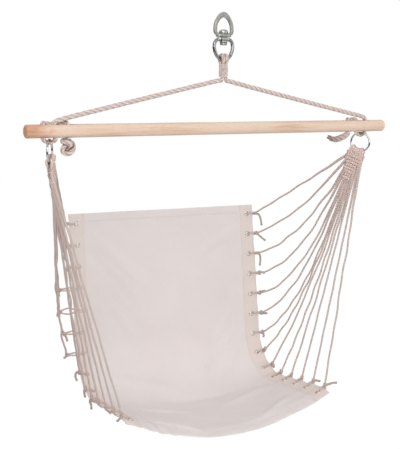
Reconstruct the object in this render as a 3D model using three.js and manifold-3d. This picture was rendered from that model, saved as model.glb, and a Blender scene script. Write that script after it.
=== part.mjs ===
// A hammock chair. A canvas seat hangs on knotted cords from two steel rings,
// the rings hang in rope loops under a drilled wooden spreader bar, and the bar
// hangs on two ropes from a forged swivel.
// Millimetres, +Z up, +X along the bar, and the sitter faces -Y. The origin is
// the inside top of the upper swivel eye, where the hook carries the chair.
import * as THREE from 'three';
import { mergeVertices } from 'three/addons/utils/BufferGeometryUtils.js';
import Module from 'manifold-3d';

const wasm = await Module();
wasm.setup();

// Fits shared by the whole chair
const runningGap = 0.4;
const seatGap = 0.3;
const cutOverrun = 6;

// Swivel, from the hook downwards
const eyeForgingDepth = 18;
const boltDiameter = 9;
const boltHeadDiameter = 22;
const boltHeadHeight = 11;
const washerDiameter = 17;
const washerThickness = 1;
const upperWireDiameter = 9.2;
const upperEyeOpening = 38.6;
const upperEyeWidth = 56;
const upperCrownDiameter = 13.5;
const upperCrownRise = 14;
const upperBaseThickness = 6.5;
const upperBaseWidth = 40;
const lowerWireDiameter = 9;
const lowerEyeOpening = 40;
const lowerEyeWidth = 61;
const lowerPlateThickness = 7;
const lowerPlateWidth = 36;
const rivetWasherDiameter = 19;
const rivetWasherThickness = 4.4;
const rivetFootDiameter = 17;
const rivetFootHeight = 6;

// Spreader bar
const barLength = 1000;
const barDiameter = 30;
const barChamfer = 2.5;
const barDrop = 262;
const ropeHoleDiameter = 13;

// Rope holes on each side, as distances from the bar's end. Each rope goes down the
// leg hole, holds the ring, comes up the ring hole and ends at the tail hole.
const leftHoleInsets = { side: -1, leg: 70, ring: 41, tail: 100 };
const rightHoleInsets = { side: 1, leg: 59, ring: 88, tail: 115 };

// Ropes, and the whipping that binds both of them under the swivel
const ropeDiameter = 11.4;
const neckRopeDiameter = 7.8;
const whippingTop = 154.2;
const whippingLength = 33.4;
const whippingWall = 1.3;
const ropeLoopDrop = 27.5;
const ropeTurnPlay = 0.8;
const stopperLobe = 6.2;
const stopperLift = 5.6;

// Rings and the woven clews on them
const ringDiameter = 54.8;
const ringWireDiameter = 4.6;
const leftRingTurn = THREE.MathUtils.degToRad(26);
const rightRingTurn = THREE.MathUtils.degToRad(34);
const ringPlay = 1.3;
const ringSleeveGap = 0.45;
const clewLean = THREE.MathUtils.degToRad(20);
const clewSpread = THREE.MathUtils.degToRad(50);
const clewSleeveWall = 2.4;
const clewColumns = 7;
const clewTopPitch = 6.5;
const clewBottomPitch = 6;
const clewFirstRow = 38;
const clewRowPitch = 12;
const warpDiameter = 5.6;
const webThickness = 2.6;

// Seat cloth, hung in the shape of a back, a bend and a seat
const clothWidth = 559;
const eyeletInset = 20;
const eyeletPitch = 58.8;
const eyeletsPerSide = 14;
const endMargin = 26;
const bandWidth = 42;
const hemWidth = 24;
const panelThickness = 2.4;
const bandThickness = 3.6;
const backTopDepth = 377;
const backTopDrop = 264;
const backLength = 336.8;
const backLean = THREE.MathUtils.degToRad(7.5);
const bendRadius = 129.4;
const seatRise = THREE.MathUtils.degToRad(6.4);
const seatTurn = THREE.MathUtils.degToRad(-5.45);
const topSag = 6;
const frontSag = 58;
const sagPower = 1.8;
const frontDroop = 9;
const panelColumns = 8;

// Eyelets
const eyeletBore = 9;
const eyeletFlangeDiameter = 15;
const eyeletWall = 0.9;
const eyeletFlangeGap = 0.5;

// Side cords
const cordDiameter = 4.2;
const knotDiameter = 11;
const loopRise = 1.2;

// For each cord from the back to the front: how far the knot stands out from its
// eyelet, and how deep the cord sags below a straight line
const rightCords = {
  reach: [30, 30, 30, 30, 29, 29, 29, 29, 29, 29, 29, 29, 30, 31],
  sag: [2, 30, 47, 65, 76, 76, 80, 2, 2, 2, 2, 2, 2, 2],
};
const leftCords = {
  reach: [29, 29, 29, 58, 62, 54, 50, 29, 29, 29, 29, 29, 30, 31],
  sag: [2, 22, 40, 65, 76, 72, 66, 2, 2, 2, 2, 2, 2, 2],
};

// Faces used on round stock
const wireSides = 8;
const ringWireSides = 6;
const ropeSides = 6;
const cordSides = 5;
const roundSteps = 16;
const ropeHoleSteps = 10;
const eyeletSteps = 8;
const ringSteps = 20;
const slackSteps = 4;

// Heights on the vertical line through the hook, from the origin
const upperBaseTop = -upperEyeOpening;
const upperBaseBottom = upperBaseTop - upperBaseThickness;
const washerTop = upperBaseBottom - seatGap;
const lowerPlateTop = washerTop - washerThickness - seatGap;
const lowerPlateBottom = lowerPlateTop - lowerPlateThickness;
const rivetWasherTop = lowerPlateBottom - seatGap;
const rivetFootTop = rivetWasherTop - rivetWasherThickness - seatGap;
const lowerWireHeight = lowerPlateBottom - lowerEyeOpening - lowerWireDiameter / 2;

const barHalf = barLength / 2;
const leftHoles = holePlaces(leftHoleInsets);
const rightHoles = holePlaces(rightHoleInsets);

const ropeRadius = ropeDiameter / 2;
const neckRopeRadius = neckRopeDiameter / 2;
const barRadius = barDiameter / 2;
const cordRadius = cordDiameter / 2;
const ringRadius = (ringDiameter - ringWireDiameter) / 2;
const ringTopDrop = ropeLoopDrop - ropeRadius - ringPlay - ringWireDiameter;
const ringCentreDrop = ringTopDrop + ringDiameter / 2;

const colours = {
  galvanised: { color: 0xb9bcbc, roughness: 0.5, metalness: 0.85 },
  wornSteel: { color: 0x8f9193, roughness: 0.35, metalness: 0.9 },
  chrome: { color: 0xd8dadc, roughness: 0.12, metalness: 1 },
  rope: { color: 0xcdbfb8, roughness: 0.95, metalness: 0 },
  beech: { color: 0xe0bb97, roughness: 0.55, metalness: 0 },
  canvas: { color: 0xdcd2cf, roughness: 0.95, metalness: 0 },
  band: { color: 0xdcccc2, roughness: 0.95, metalness: 0 },
  eyelet: { color: 0xb8b2aa, roughness: 0.4, metalness: 0.8 },
};

function at(x, y, z) {
  return new THREE.Vector3(x, y, z);
}

function holePlaces({ side, leg, ring, tail }) {
  return { side, leg: barHalf - leg, ring: barHalf - ring, tail: barHalf - tail };
}

function solidOf(geometry) {
  const bare = geometry.clone();
  bare.deleteAttribute('normal');
  bare.deleteAttribute('uv');
  const merged = mergeVertices(bare);
  return new wasm.Manifold(new wasm.Mesh({
    numProp: 3,
    vertProperties: new Float32Array(merged.attributes.position.array),
    triVerts: new Uint32Array(merged.index.array),
  }));
}

function geometryOf(solid) {
  const mesh = solid.getMesh();
  const geometry = new THREE.BufferGeometry();
  geometry.setAttribute('position', new THREE.BufferAttribute(mesh.vertProperties, 3));
  geometry.setIndex(new THREE.BufferAttribute(mesh.triVerts, 1));
  geometry.computeVertexNormals();
  return geometry;
}

function joined(geometries) {
  const solids = geometries.map(solidOf);
  return solids.reduce((whole, next) => whole.add(next));
}

function cut(solid, geometries) {
  return geometries.map(solidOf).reduce((whole, next) => whole.subtract(next), solid);
}

function polygon(radius, sides) {
  const corners = [];
  for (let i = 0; i < sides; i += 1) {
    const angle = (2 * Math.PI * (i + 0.5)) / sides;
    corners.push(new THREE.Vector2(radius * Math.cos(angle), radius * Math.sin(angle)));
  }
  return new THREE.Shape(corners);
}

function tube(curve, radius, sides, steps) {
  return new THREE.ExtrudeGeometry(polygon(radius, sides), {
    extrudePath: curve,
    steps,
    bevelEnabled: false,
  });
}

// A smooth curve that keeps a ring of the tube on every listed point
class RouteCurve extends THREE.CatmullRomCurve3 {
  getPointAt(share) {
    return this.getPoint(share);
  }

  getTangentAt(share) {
    return this.getTangent(share);
  }
}

function smoothTube(points, radius, sides, stepsPerSpan = 1) {
  const route = new RouteCurve(points, false, 'centripetal');
  return tube(route, radius, sides, (points.length - 1) * stepsPerSpan);
}

function straightTube(start, end, radius, sides) {
  return tube(new THREE.LineCurve3(start, end), radius, sides, 1);
}

// A turned piece: the profile gives radius and height, and the axis is Z
function turned(profile, steps) {
  const points = profile.map(([radius, height]) => new THREE.Vector2(radius, height));
  return new THREE.LatheGeometry(points, steps).rotateX(Math.PI / 2);
}

function rod(radius, low, high, steps) {
  return turned([[0, low], [radius, low], [radius, high], [0, high]], steps);
}

function pipe(bore, radius, low, high, steps) {
  return turned([[bore, low], [radius, low], [radius, high], [bore, high], [bore, low]], steps);
}

function mesh(name, geometry, finish) {
  const piece = new THREE.Mesh(geometry, new THREE.MeshStandardMaterial(finish));
  piece.name = name;
  return piece;
}

// A flat forged plate with round ends, lying across the swivel's axis
function eyePlate(width, bottom, top) {
  const radius = eyeForgingDepth / 2;
  const reach = width / 2 - radius;
  const outline = new THREE.Shape();
  outline.absarc(reach, 0, radius, -Math.PI / 2, Math.PI / 2, false);
  outline.absarc(-reach, 0, radius, Math.PI / 2, Math.PI * 1.5, false);
  return new THREE.ExtrudeGeometry(outline, {
    depth: top - bottom,
    curveSegments: wireSides / 2,
    bevelEnabled: false,
  }).translate(0, 0, bottom);
}

// Both halves of an eye, swept through points given as width and height on one side
function bothHalves(points, radius) {
  return [1, -1].map((side) => smoothTube(points.map(([x, z]) => at(side * x, 0, z)), radius, wireSides));
}

// The pear-shaped eye that goes on the hook, with a pointed top, a thick crown and a drilled base
function upperEye() {
  const wire = upperWireDiameter / 2;
  const crown = upperCrownDiameter / 2;
  const widest = upperEyeWidth / 2 - wire;
  const archShares = [
    [0, -0.146], [0.22, -0.06], [0.43, 0.035], [0.735, 0.27], [0.9, 0.505], [0.985, 0.76],
    [0.9, 0.96], [0.68, 1.025],
  ];
  const arch = archShares.map(([width, depth]) => [widest * width, -upperEyeOpening * depth]);
  const crownDepthShare = 0.75;
  const ball = new THREE.SphereGeometry(crown, wireSides, wireSides).rotateX(Math.PI / 2);
  ball.scale(1, crownDepthShare, 1).translate(0, 0, upperCrownRise - crown);
  const body = joined([
    ...bothHalves(arch, wire),
    eyePlate(upperBaseWidth, upperBaseBottom, upperBaseTop),
    ball,
  ]);
  const bore = boltDiameter / 2 + runningGap;
  const drill = rod(bore, upperBaseBottom - cutOverrun, upperBaseTop + cutOverrun, roundSteps);
  return geometryOf(cut(body, [drill]));
}

// The rounded eye that carries the ropes, riveted to the bolt
function lowerEye() {
  const wire = lowerWireDiameter / 2;
  const widest = lowerEyeWidth / 2 - wire;
  const drop = lowerPlateBottom - lowerWireHeight;
  const archShares = [
    [0.46, -0.07], [0.8, 0], [0.955, 0.14], [1, 0.345], [0.915, 0.58], [0.74, 0.79], [0.45, 0.95],
    [0.15, 1], [0, 1],
  ];
  const arch = archShares.map(([width, depth]) => [widest * width, lowerPlateBottom - drop * depth]);
  const weld = wire / 2;
  const body = joined([
    ...bothHalves(arch, wire),
    eyePlate(lowerPlateWidth, lowerPlateBottom, lowerPlateTop),
    straightTube(at(-weld, 0, lowerWireHeight), at(weld, 0, lowerWireHeight), wire, wireSides),
  ]);
  const bore = boltDiameter / 2 + seatGap;
  const drill = rod(bore, lowerPlateBottom - cutOverrun, lowerPlateTop + cutOverrun, roundSteps);
  return geometryOf(cut(body, [drill]));
}

// A domed bolt whose lower end is riveted over its washer
function swivelBolt() {
  const shank = boltDiameter / 2;
  const head = boltHeadDiameter / 2;
  const foot = rivetFootDiameter / 2;
  const headBottom = upperBaseTop + seatGap;
  const footTipShare = 0.85;
  const rimShare = 0.5;
  const rimHeight = boltHeadHeight * rimShare;
  const domeHeight = boltHeadHeight - rimHeight;
  const domeSteps = 3;
  const profile = [
    [0, rivetFootTop - rivetFootHeight],
    [foot * footTipShare, rivetFootTop - rivetFootHeight],
    [foot, rivetFootTop - rivetFootHeight / 2],
    [foot, rivetFootTop],
    [shank, rivetFootTop],
    [shank, headBottom],
    [head, headBottom],
  ];
  for (let i = 0; i <= domeSteps; i += 1) {
    const angle = (i / domeSteps) * (Math.PI / 2);
    const radius = i === domeSteps ? 0 : head * Math.cos(angle);
    profile.push([radius, headBottom + rimHeight + domeHeight * Math.sin(angle)]);
  }
  return turned(profile, roundSteps);
}

function swivelPieces() {
  const shankHole = boltDiameter / 2 + runningGap;
  const rivetHole = boltDiameter / 2 + seatGap;
  const washerBottom = washerTop - washerThickness;
  const rivetWasherBottom = rivetWasherTop - rivetWasherThickness;
  const washer = pipe(shankHole, washerDiameter / 2, washerBottom, washerTop, roundSteps);
  const rivetWasher = pipe(rivetHole, rivetWasherDiameter / 2, rivetWasherBottom, rivetWasherTop, roundSteps);
  return [
    mesh('upper_eye', upperEye(), colours.galvanised),
    mesh('thrust_washer', washer, colours.galvanised),
    mesh('swivel_bolt', swivelBolt(), colours.wornSteel),
    mesh('lower_eye', lowerEye(), colours.wornSteel),
    mesh('rivet_washer', rivetWasher, colours.wornSteel),
  ];
}

// The bar is a turned dowel with chamfered ends and three rope holes near each end
function spreaderBar() {
  const half = barHalf;
  const dowel = turned([
    [0, -half],
    [barRadius - barChamfer, -half],
    [barRadius, barChamfer - half],
    [barRadius, half - barChamfer],
    [barRadius - barChamfer, half],
    [0, half],
  ], roundSteps).rotateY(Math.PI / 2);
  const drills = [];
  for (const holes of [leftHoles, rightHoles]) {
    for (const place of [holes.leg, holes.ring, holes.tail]) {
      const drill = rod(ropeHoleDiameter / 2, -barDiameter, barDiameter, ropeHoleSteps);
      drills.push(drill.translate(holes.side * place, 0, 0));
    }
  }
  return geometryOf(cut(solidOf(dowel), drills));
}

// The doubled rope over the lower eye: up the front, round the wire and down the back.
// Heights in the bar group count from the bar's axis.
function neckRun(side) {
  const apart = neckRopeRadius + runningGap / 2;
  const strand = side * apart;
  const wireHeight = lowerWireHeight + barDrop;
  const turnRadius = lowerWireDiameter / 2 + ropeTurnPlay + neckRopeRadius;
  const whippingBottom = whippingTop - whippingLength;
  const points = [at(strand, apart, whippingBottom + neckRopeRadius), at(strand, apart, whippingTop)];
  const turnSteps = 6;
  for (let i = 0; i <= turnSteps; i += 1) {
    const angle = (i / turnSteps) * Math.PI;
    const y = turnRadius * Math.cos(angle);
    points.push(at(strand, y, wireHeight + turnRadius * Math.sin(angle)));
  }
  points.push(at(strand, -apart, whippingTop), at(strand, -apart, whippingBottom));
  points.push(at(side * ropeRadius, -apart / 2, whippingBottom - ropeRadius));
  return smoothTube(points, neckRopeRadius, ropeSides);
}

// Both routes start at the neck, counted from the middle of the bar
const leftNeck = [[7, -2, 115], [20, -1, 112.4]];
const rightNeck = [[7, -2, 115], [20, -1, 111.4]];

// From here the routes count inwards from the bar's end: to the bar, down a hole, under
// the bar where the ring hangs, up the next hole, over the bar and down the last hole
const leftRoute = [
  [108, 0, 31], [90, 0, 26.8], [75.5, 0, 22], [70, 0, 16], [70, 0, -16],
  [66, 0, -22.5], [55.5, 0, -27.5], [45, 0, -22.5], [41, 0, -16], [41, 0, 16],
  [44, 3, 21.4], [53, 9.5, 20.3], [66, 13.5, 17.4], [86, 12.5, 18], [96, 4.5, 20.8], [100, 0, 16],
  [100, 0, -16], [100, 0, -19],
];

// The same route on the right, where the tail turns under the bar
const rightRoute = [
  [98, 0, 30.6], [77, 0, 26.4], [64, 0, 22], [59, 0, 16], [59, 0, -16],
  [63, 0, -22.5], [73.5, 0, -27.5], [84, 0, -22.5], [88, 0, -16], [88, 0, 16],
  [91, 4, 21.2], [101.5, 10, 19.8], [112, 4, 21.2], [115, 0, 16], [115, 0, -16],
  [118, 0, -23], [127, -1, -29.5], [140, -2, -34.5], [153, -3, -36.5], [164, -3, -34.5],
  [173, -3, -31], [181, -3, -27],
];

function neckPoints(neck, side) {
  return neck.map(([x, y, z]) => at(side * x, y, z));
}

function routePoints(route, side) {
  return route.map(([inset, y, z]) => at(side * (barHalf - inset), y, z));
}

// A route that meets itself is swept in short runs, which are then joined
function runs(points, radius, sides, pointsPerRun) {
  const pieces = [];
  for (let first = 0; first < points.length - 1; first += pointsPerRun) {
    const run = points.slice(first, first + pointsPerRun + 1);
    pieces.push(smoothTube(run, radius, sides));
  }
  return pieces;
}

// An overhand stopper knot: a trefoil, opened at its upper lobe where the rope enters
function stopperKnot(side, entry) {
  const steps = 12;
  const pointsPerRun = 5;
  const opening = THREE.MathUtils.degToRad(24);
  const points = [entry];
  for (let i = 0; i <= steps; i += 1) {
    const angle = THREE.MathUtils.lerp(Math.PI + opening, Math.PI * 3 - opening, i / steps);
    const across = side * stopperLobe * (Math.sin(angle) + 2 * Math.sin(2 * angle));
    const up = stopperLobe * (2 * Math.cos(2 * angle) - Math.cos(angle) - 3);
    points.push(at(entry.x + across, -stopperLift * Math.sin(3 * angle), entry.z + up));
  }
  return runs(points, ropeRadius, ropeSides, pointsPerRun);
}

function rope(side, neck, route) {
  const hitch = routePoints(route, side);
  const lead = [...neckPoints(neck, side), hitch[0]];
  const pieces = [neckRun(side), ...[lead, hitch].map((points) => smoothTube(points, ropeRadius, ropeSides))];
  const end = hitch[hitch.length - 1];
  if (side === leftHoles.side) {
    pieces.push(...stopperKnot(side, end));
  }
  return geometryOf(joined(pieces));
}

function whipping() {
  const strands = (neckRopeRadius + runningGap / 2) * Math.SQRT2 + neckRopeRadius;
  const bore = strands + runningGap;
  const bottom = whippingTop - whippingLength;
  return pipe(bore, bore + whippingWall, bottom, whippingTop, roundSteps);
}

// Directions of a ring and its clew: across the clew, through it and down it
function clewFrame(holes, turn) {
  const back = at(-holes.side * Math.sin(turn), Math.cos(turn), 0);
  const up = at(0, 0, 1);
  const down = back.clone().multiplyScalar(Math.sin(clewLean)).addScaledVector(up, -Math.cos(clewLean));
  const across = back.clone().multiplyScalar(Math.cos(clewLean)).addScaledVector(up, Math.sin(clewLean));
  const through = down.clone().cross(across);
  const centre = at(holes.side * (holes.leg + holes.ring) / 2, 0, -ringCentreDrop);
  const place = (a, b, c) => centre.clone()
    .addScaledVector(across, a).addScaledVector(through, b).addScaledVector(down, c);
  const matrix = new THREE.Matrix4().makeBasis(across, down, through.clone().negate()).setPosition(centre);
  return { place, matrix, centre };
}

function ringTorus(frame, wire, sides) {
  return new THREE.TorusGeometry(ringRadius, wire, sides, ringSteps).applyMatrix4(frame.matrix);
}

function columnPitch(depth) {
  const length = clewRowPitch * (clewColumns - 1);
  const share = THREE.MathUtils.clamp((depth - clewFirstRow) / length, 0, 1);
  return THREE.MathUtils.lerp(clewTopPitch, clewBottomPitch, share);
}

// Rows a column lasts for: the outer columns end first, and the middle one last
function columnRows(column) {
  const middle = (clewColumns - 1) / 2;
  return Math.min(clewColumns, 2 * (middle - Math.abs(column - middle)) + 2);
}

function rowDepth(row) {
  return clewFirstRow + clewRowPitch * row;
}

// The weft between the columns, as one web that steps in where cords leave
function clewWeb() {
  const edge = [[columnPitch(0) * Math.floor(clewColumns / 2), clewFirstRow - clewRowPitch]];
  for (let row = 0; row < clewColumns; row += 1) {
    const outer = Math.floor((clewColumns - row) / 2) * columnPitch(rowDepth(row));
    edge.push([outer, rowDepth(row) - clewRowPitch / 2], [outer, rowDepth(row) + clewRowPitch / 3]);
  }
  const outline = [...edge, ...edge.reverse().map(([across, down]) => [-across, down])];
  const shape = new THREE.Shape(outline.map(([across, down]) => new THREE.Vector2(across, down)));
  return new THREE.ExtrudeGeometry(shape, { depth: webThickness, bevelEnabled: false })
    .translate(0, 0, -webThickness / 2);
}

// The woven clew: warp columns that hug the ring, held by the weft
function clewParts(frame) {
  const parts = [];
  const middle = (clewColumns - 1) / 2;
  const sleeve = [];
  const sleeveSteps = 6;
  for (let i = 0; i <= sleeveSteps; i += 1) {
    const angle = THREE.MathUtils.lerp(-clewSpread, clewSpread, i / sleeveSteps);
    sleeve.push(frame.place(ringRadius * Math.sin(angle), 0, ringRadius * Math.cos(angle)));
  }
  parts.push(smoothTube(sleeve, ringWireDiameter / 2 + seatGap + clewSleeveWall, cordSides));
  for (let column = 0; column < clewColumns; column += 1) {
    const angle = ((column - middle) / middle) * (clewSpread - seatGap / ringRadius);
    const start = frame.place(-ringRadius * Math.sin(angle), 0, ringRadius * Math.cos(angle));
    const end = rowDepth(columnRows(column) - 1) + clewRowPitch / 3;
    const knee = rowDepth(0);
    const points = [
      start,
      frame.place(-(column - middle) * columnPitch(knee), 0, knee),
      frame.place(-(column - middle) * columnPitch(end), 0, end),
    ];
    parts.push(smoothTube(points, warpDiameter / 2, cordSides));
  }
  parts.push(clewWeb().applyMatrix4(frame.matrix));
  return parts;
}

// Where cord i leaves the clew: 0 is at the top of the back, the last at the front
function cordStart(frame, i) {
  const middle = (clewColumns - 1) / 2;
  const fromTop = i < clewColumns ? i : eyeletsPerSide - 1 - i;
  const column = middle - Math.floor(fromTop / 2);
  const side = i < clewColumns ? 1 : -1;
  const depth = rowDepth(fromTop);
  const layerShare = 0.2;
  const layer = warpDiameter * (fromTop % 2 === 0 ? layerShare : -layerShare);
  return frame.place(side * column * columnPitch(depth), layer, depth);
}

// The side view of the cloth, by distance from the first eyelet: depth, height, heading
const bendTurn = Math.PI / 2 + seatRise - backLean;
const bendLength = bendRadius * bendTurn;
const eyeletRun = eyeletPitch * (eyeletsPerSide - 1);
const seatHeading = backLean + bendTurn;
const droopStart = eyeletRun - eyeletPitch / 4;
const bendStart = {
  y: backTopDepth - Math.sin(backLean) * backLength,
  z: -backTopDrop - Math.cos(backLean) * backLength,
};
const bendCentre = {
  y: bendStart.y - Math.cos(backLean) * bendRadius,
  z: bendStart.z + Math.sin(backLean) * bendRadius,
};

function profileAt(distance) {
  if (distance <= backLength) {
    return {
      y: backTopDepth - Math.sin(backLean) * distance,
      z: -backTopDrop - Math.cos(backLean) * distance,
      heading: backLean,
    };
  }
  const heading = Math.min(backLean + (distance - backLength) / bendRadius, seatHeading);
  const beyond = Math.max(0, distance - backLength - bendLength);
  return {
    y: bendCentre.y + Math.cos(heading) * bendRadius - Math.sin(heading) * beyond,
    z: bendCentre.z - Math.sin(heading) * bendRadius - Math.cos(heading) * beyond,
    heading,
  };
}

// A point of the cloth's middle layer: across is X, and along runs from back to front.
// It sags away from the sitter between the two lines of eyelets, and its front edge
// droops from just before the last of them.
function clothPoint(across, along) {
  const line = profileAt(along);
  const depth = THREE.MathUtils.lerp(topSag, frontSag, along / eyeletRun);
  const share = Math.abs(across) / (clothWidth / 2 - eyeletInset);
  const sag = depth * (1 - share ** sagPower);
  const drooping = Math.max(0, along - droopStart) / (eyeletRun + endMargin - droopStart);
  return at(
    across,
    line.y + Math.cos(line.heading) * sag,
    line.z - Math.sin(line.heading) * sag - frontDroop * drooping,
  );
}

// The direction out of the cloth towards the sitter
function clothNormal(across, along) {
  const nudge = panelThickness / 2;
  const sideways = clothPoint(across + nudge, along).sub(clothPoint(across - nudge, along));
  const onward = clothPoint(across, along + nudge).sub(clothPoint(across, along - nudge));
  return onward.cross(sideways).normalize();
}

// A closed slab of cloth between two columns and two rows of the cloth's surface
function clothSlab(acrossStops, alongStops, thickness) {
  const positions = [];
  const faces = [];
  const width = acrossStops.length;
  const height = alongStops.length;
  const layer = width * height;
  for (const offset of [thickness / 2, -thickness / 2]) {
    for (const along of alongStops) {
      for (const across of acrossStops) {
        const point = clothPoint(across, along).addScaledVector(clothNormal(across, along), offset);
        positions.push(point.x, point.y, point.z);
      }
    }
  }
  const quad = (a, b, c, d) => faces.push(a, b, c, a, c, d);
  for (let j = 0; j < height - 1; j += 1) {
    for (let i = 0; i < width - 1; i += 1) {
      const corner = j * width + i;
      quad(corner, corner + width, corner + width + 1, corner + 1);
      quad(layer + corner, layer + corner + 1, layer + corner + width + 1, layer + corner + width);
    }
  }
  const rim = [];
  for (let i = 0; i < width - 1; i += 1) {
    rim.push(i);
  }
  for (let j = 0; j < height - 1; j += 1) {
    rim.push(j * width + width - 1);
  }
  for (let i = width - 1; i > 0; i -= 1) {
    rim.push((height - 1) * width + i);
  }
  for (let j = height - 1; j > 0; j -= 1) {
    rim.push(j * width);
  }
  rim.forEach((corner, k) => {
    const next = rim[(k + 1) % rim.length];
    quad(corner, next, layer + next, layer + corner);
  });
  const geometry = new THREE.BufferGeometry();
  geometry.setAttribute('position', new THREE.Float32BufferAttribute(positions, 3));
  geometry.setIndex(faces);
  geometry.computeVertexNormals();
  return geometry;
}

function stops(from, to, count) {
  return Array.from({ length: count + 1 }, (_, i) => THREE.MathUtils.lerp(from, to, i / count));
}

// Rows of the cloth: an eyelet sits in the middle of every second one
const clothTop = -endMargin;
const clothFront = eyeletRun + endMargin;

function clothRows(from, to) {
  const rows = [from];
  const half = eyeletPitch / 2;
  for (let along = -half / 2; along < clothFront; along += half) {
    if (along > from + seatGap && along < to - seatGap) {
      rows.push(along);
    }
  }
  rows.push(to);
  return rows;
}

// The frame of one eyelet, set in the flat facet of its band
function eyeletFrame(side, index) {
  const outer = side * clothWidth / 2;
  const inner = outer - side * bandWidth;
  const along = index * eyeletPitch;
  const low = Math.max(along - eyeletPitch / 4, clothTop);
  const high = Math.min(along + eyeletPitch / 4, clothFront);
  const corners = [[inner, low], [outer, low], [outer, high], [inner, high]]
    .map(([across, place]) => clothPoint(across, place));
  const share = (bandWidth - eyeletInset) / bandWidth;
  const lowPoint = corners[0].clone().lerp(corners[1], share);
  const highPoint = corners[3].clone().lerp(corners[2], share);
  const centre = lowPoint.clone().lerp(highPoint, 0.5);
  const outward = corners[1].clone().sub(corners[0]).add(corners[2]).sub(corners[3]).normalize();
  const onward = highPoint.sub(lowPoint).normalize();
  const front = onward.cross(outward).multiplyScalar(side).normalize();
  const lengthwise = front.clone().cross(outward);
  const matrix = new THREE.Matrix4().makeBasis(outward, lengthwise, front).setPosition(centre);
  return { centre, outward, front, matrix };
}

function eyelet() {
  const bore = eyeletBore / 2;
  const barrel = bore + eyeletWall;
  const flange = eyeletFlangeDiameter / 2;
  const inner = bandThickness / 2 + eyeletFlangeGap;
  const outer = inner + eyeletWall;
  return turned([
    [bore, -outer], [flange, -inner], [barrel, -inner],
    [barrel, inner], [flange, inner], [bore, outer], [bore, -outer],
  ], eyeletSteps);
}

function sideBand(side) {
  const outer = side * clothWidth / 2;
  const inner = outer - side * bandWidth;
  const across = [Math.min(inner, outer), Math.max(inner, outer)];
  const slab = clothSlab(across, clothRows(clothTop, clothFront), bandThickness);
  const radius = eyeletBore / 2 + eyeletWall + seatGap;
  const holes = [];
  for (let i = 0; i < eyeletsPerSide; i += 1) {
    const hole = rod(radius, -eyeletFlangeDiameter, eyeletFlangeDiameter, eyeletSteps);
    holes.push(hole.applyMatrix4(eyeletFrame(side, i).matrix));
  }
  return geometryOf(cut(solidOf(slab), holes));
}

function clothPieces() {
  const inner = clothWidth / 2 - bandWidth - seatGap;
  const across = stops(-inner, inner, panelColumns);
  const topEnd = clothTop + hemWidth;
  const frontStart = clothFront - hemWidth;
  const slab = (from, to, thickness) => clothSlab(across, clothRows(from, to), thickness);
  const panel = slab(topEnd + seatGap, frontStart - seatGap, panelThickness);
  const pieces = [
    mesh('seat_canvas', panel, colours.canvas),
    mesh('top_hem', slab(clothTop, topEnd, bandThickness), colours.band),
    mesh('front_hem', slab(frontStart, clothFront, bandThickness), colours.band),
    mesh('side_band_left', sideBand(-1), colours.band),
    mesh('side_band_right', sideBand(1), colours.band),
  ];
  for (const [side, word] of [[-1, 'left'], [1, 'right']]) {
    for (let i = 0; i < eyeletsPerSide; i += 1) {
      const number = String(i + 1).padStart(2, '0');
      const piece = mesh(`eyelet_${word}_${number}`, eyelet(), colours.eyelet);
      piece.applyMatrix4(eyeletFrame(side, i).matrix);
      pieces.push(piece);
    }
  }
  return pieces;
}

// One cord: from the clew to a knot beside the band, and a loop through the eyelet
function cordParts(frame, seat, side, i, cords) {
  const hole = eyeletFrame(side, i);
  const toWorld = (point) => point.applyMatrix4(seat.matrix);
  const spot = (out, front) => toWorld(hole.centre.clone()
    .addScaledVector(hole.outward, out).addScaledVector(hole.front, front));
  const reach = cords.reach[i];
  const start = cordStart(frame, i);
  const knot = spot(reach, 0);
  const route = [];
  const steps = cords.sag[i] > cordDiameter ? slackSteps : 1;
  for (let k = 0; k <= steps; k += 1) {
    const share = k / steps;
    const point = start.clone().lerp(knot, share);
    point.z -= cords.sag[i] * 4 * share * (1 - share);
    route.push(point);
  }
  const lift = bandThickness / 2 + eyeletFlangeGap + eyeletWall + cordRadius + loopRise;
  const mouthLift = lift - cordRadius / 2;
  const overEdge = eyeletInset - cordRadius;
  const knotOverlap = reach + cordRadius;
  const loop = [
    spot(knotOverlap, cordRadius / 2),
    spot(overEdge, lift),
    spot(cordRadius, mouthLift),
    spot(0, 0),
    spot(cordRadius, -mouthLift),
    spot(overEdge, -lift),
    spot(knotOverlap, -cordRadius / 2),
  ];
  const cord = steps === 1 ? straightTube(start, knot, cordRadius, cordSides)
    : smoothTube(route, cordRadius, cordSides);
  return [
    cord,
    smoothTube(loop, cordRadius, cordSides),
    new THREE.IcosahedronGeometry(knotDiameter / 2, 0).translate(knot.x, knot.y, knot.z),
  ];
}

function cordNet(holes, turn, seat, cords) {
  const frame = clewFrame(holes, turn);
  const parts = clewParts(frame);
  for (let i = 0; i < eyeletsPerSide; i += 1) {
    parts.push(...cordParts(frame, seat, holes.side, i, cords));
  }
  const wire = ringTorus(frame, ringWireDiameter / 2 + ringSleeveGap, wireSides);
  return geometryOf(cut(joined(parts), [wire]));
}

const chair = new THREE.Group();
chair.add(...swivelPieces());

const bar = new THREE.Group();
bar.position.z = -barDrop;
chair.add(bar);
bar.add(mesh('spreader_bar', spreaderBar(), colours.beech));
bar.add(mesh('rope_left', rope(leftHoles.side, leftNeck, leftRoute), colours.rope));
bar.add(mesh('rope_right', rope(rightHoles.side, rightNeck, rightRoute), colours.rope));
bar.add(mesh('neck_whipping', whipping(), colours.rope));

const seat = new THREE.Group();
seat.rotation.z = seatTurn;
seat.updateMatrix();
seat.add(...clothPieces());
bar.add(seat);

for (const [word, holes, turn, cords] of [
  ['left', leftHoles, leftRingTurn, leftCords],
  ['right', rightHoles, rightRingTurn, rightCords],
]) {
  const frame = clewFrame(holes, turn);
  bar.add(mesh(`ring_${word}`, ringTorus(frame, ringWireDiameter / 2, ringWireSides), colours.chrome));
  bar.add(mesh(`cord_net_${word}`, cordNet(holes, turn, seat, cords), colours.rope));
}

export default chair;
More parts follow.
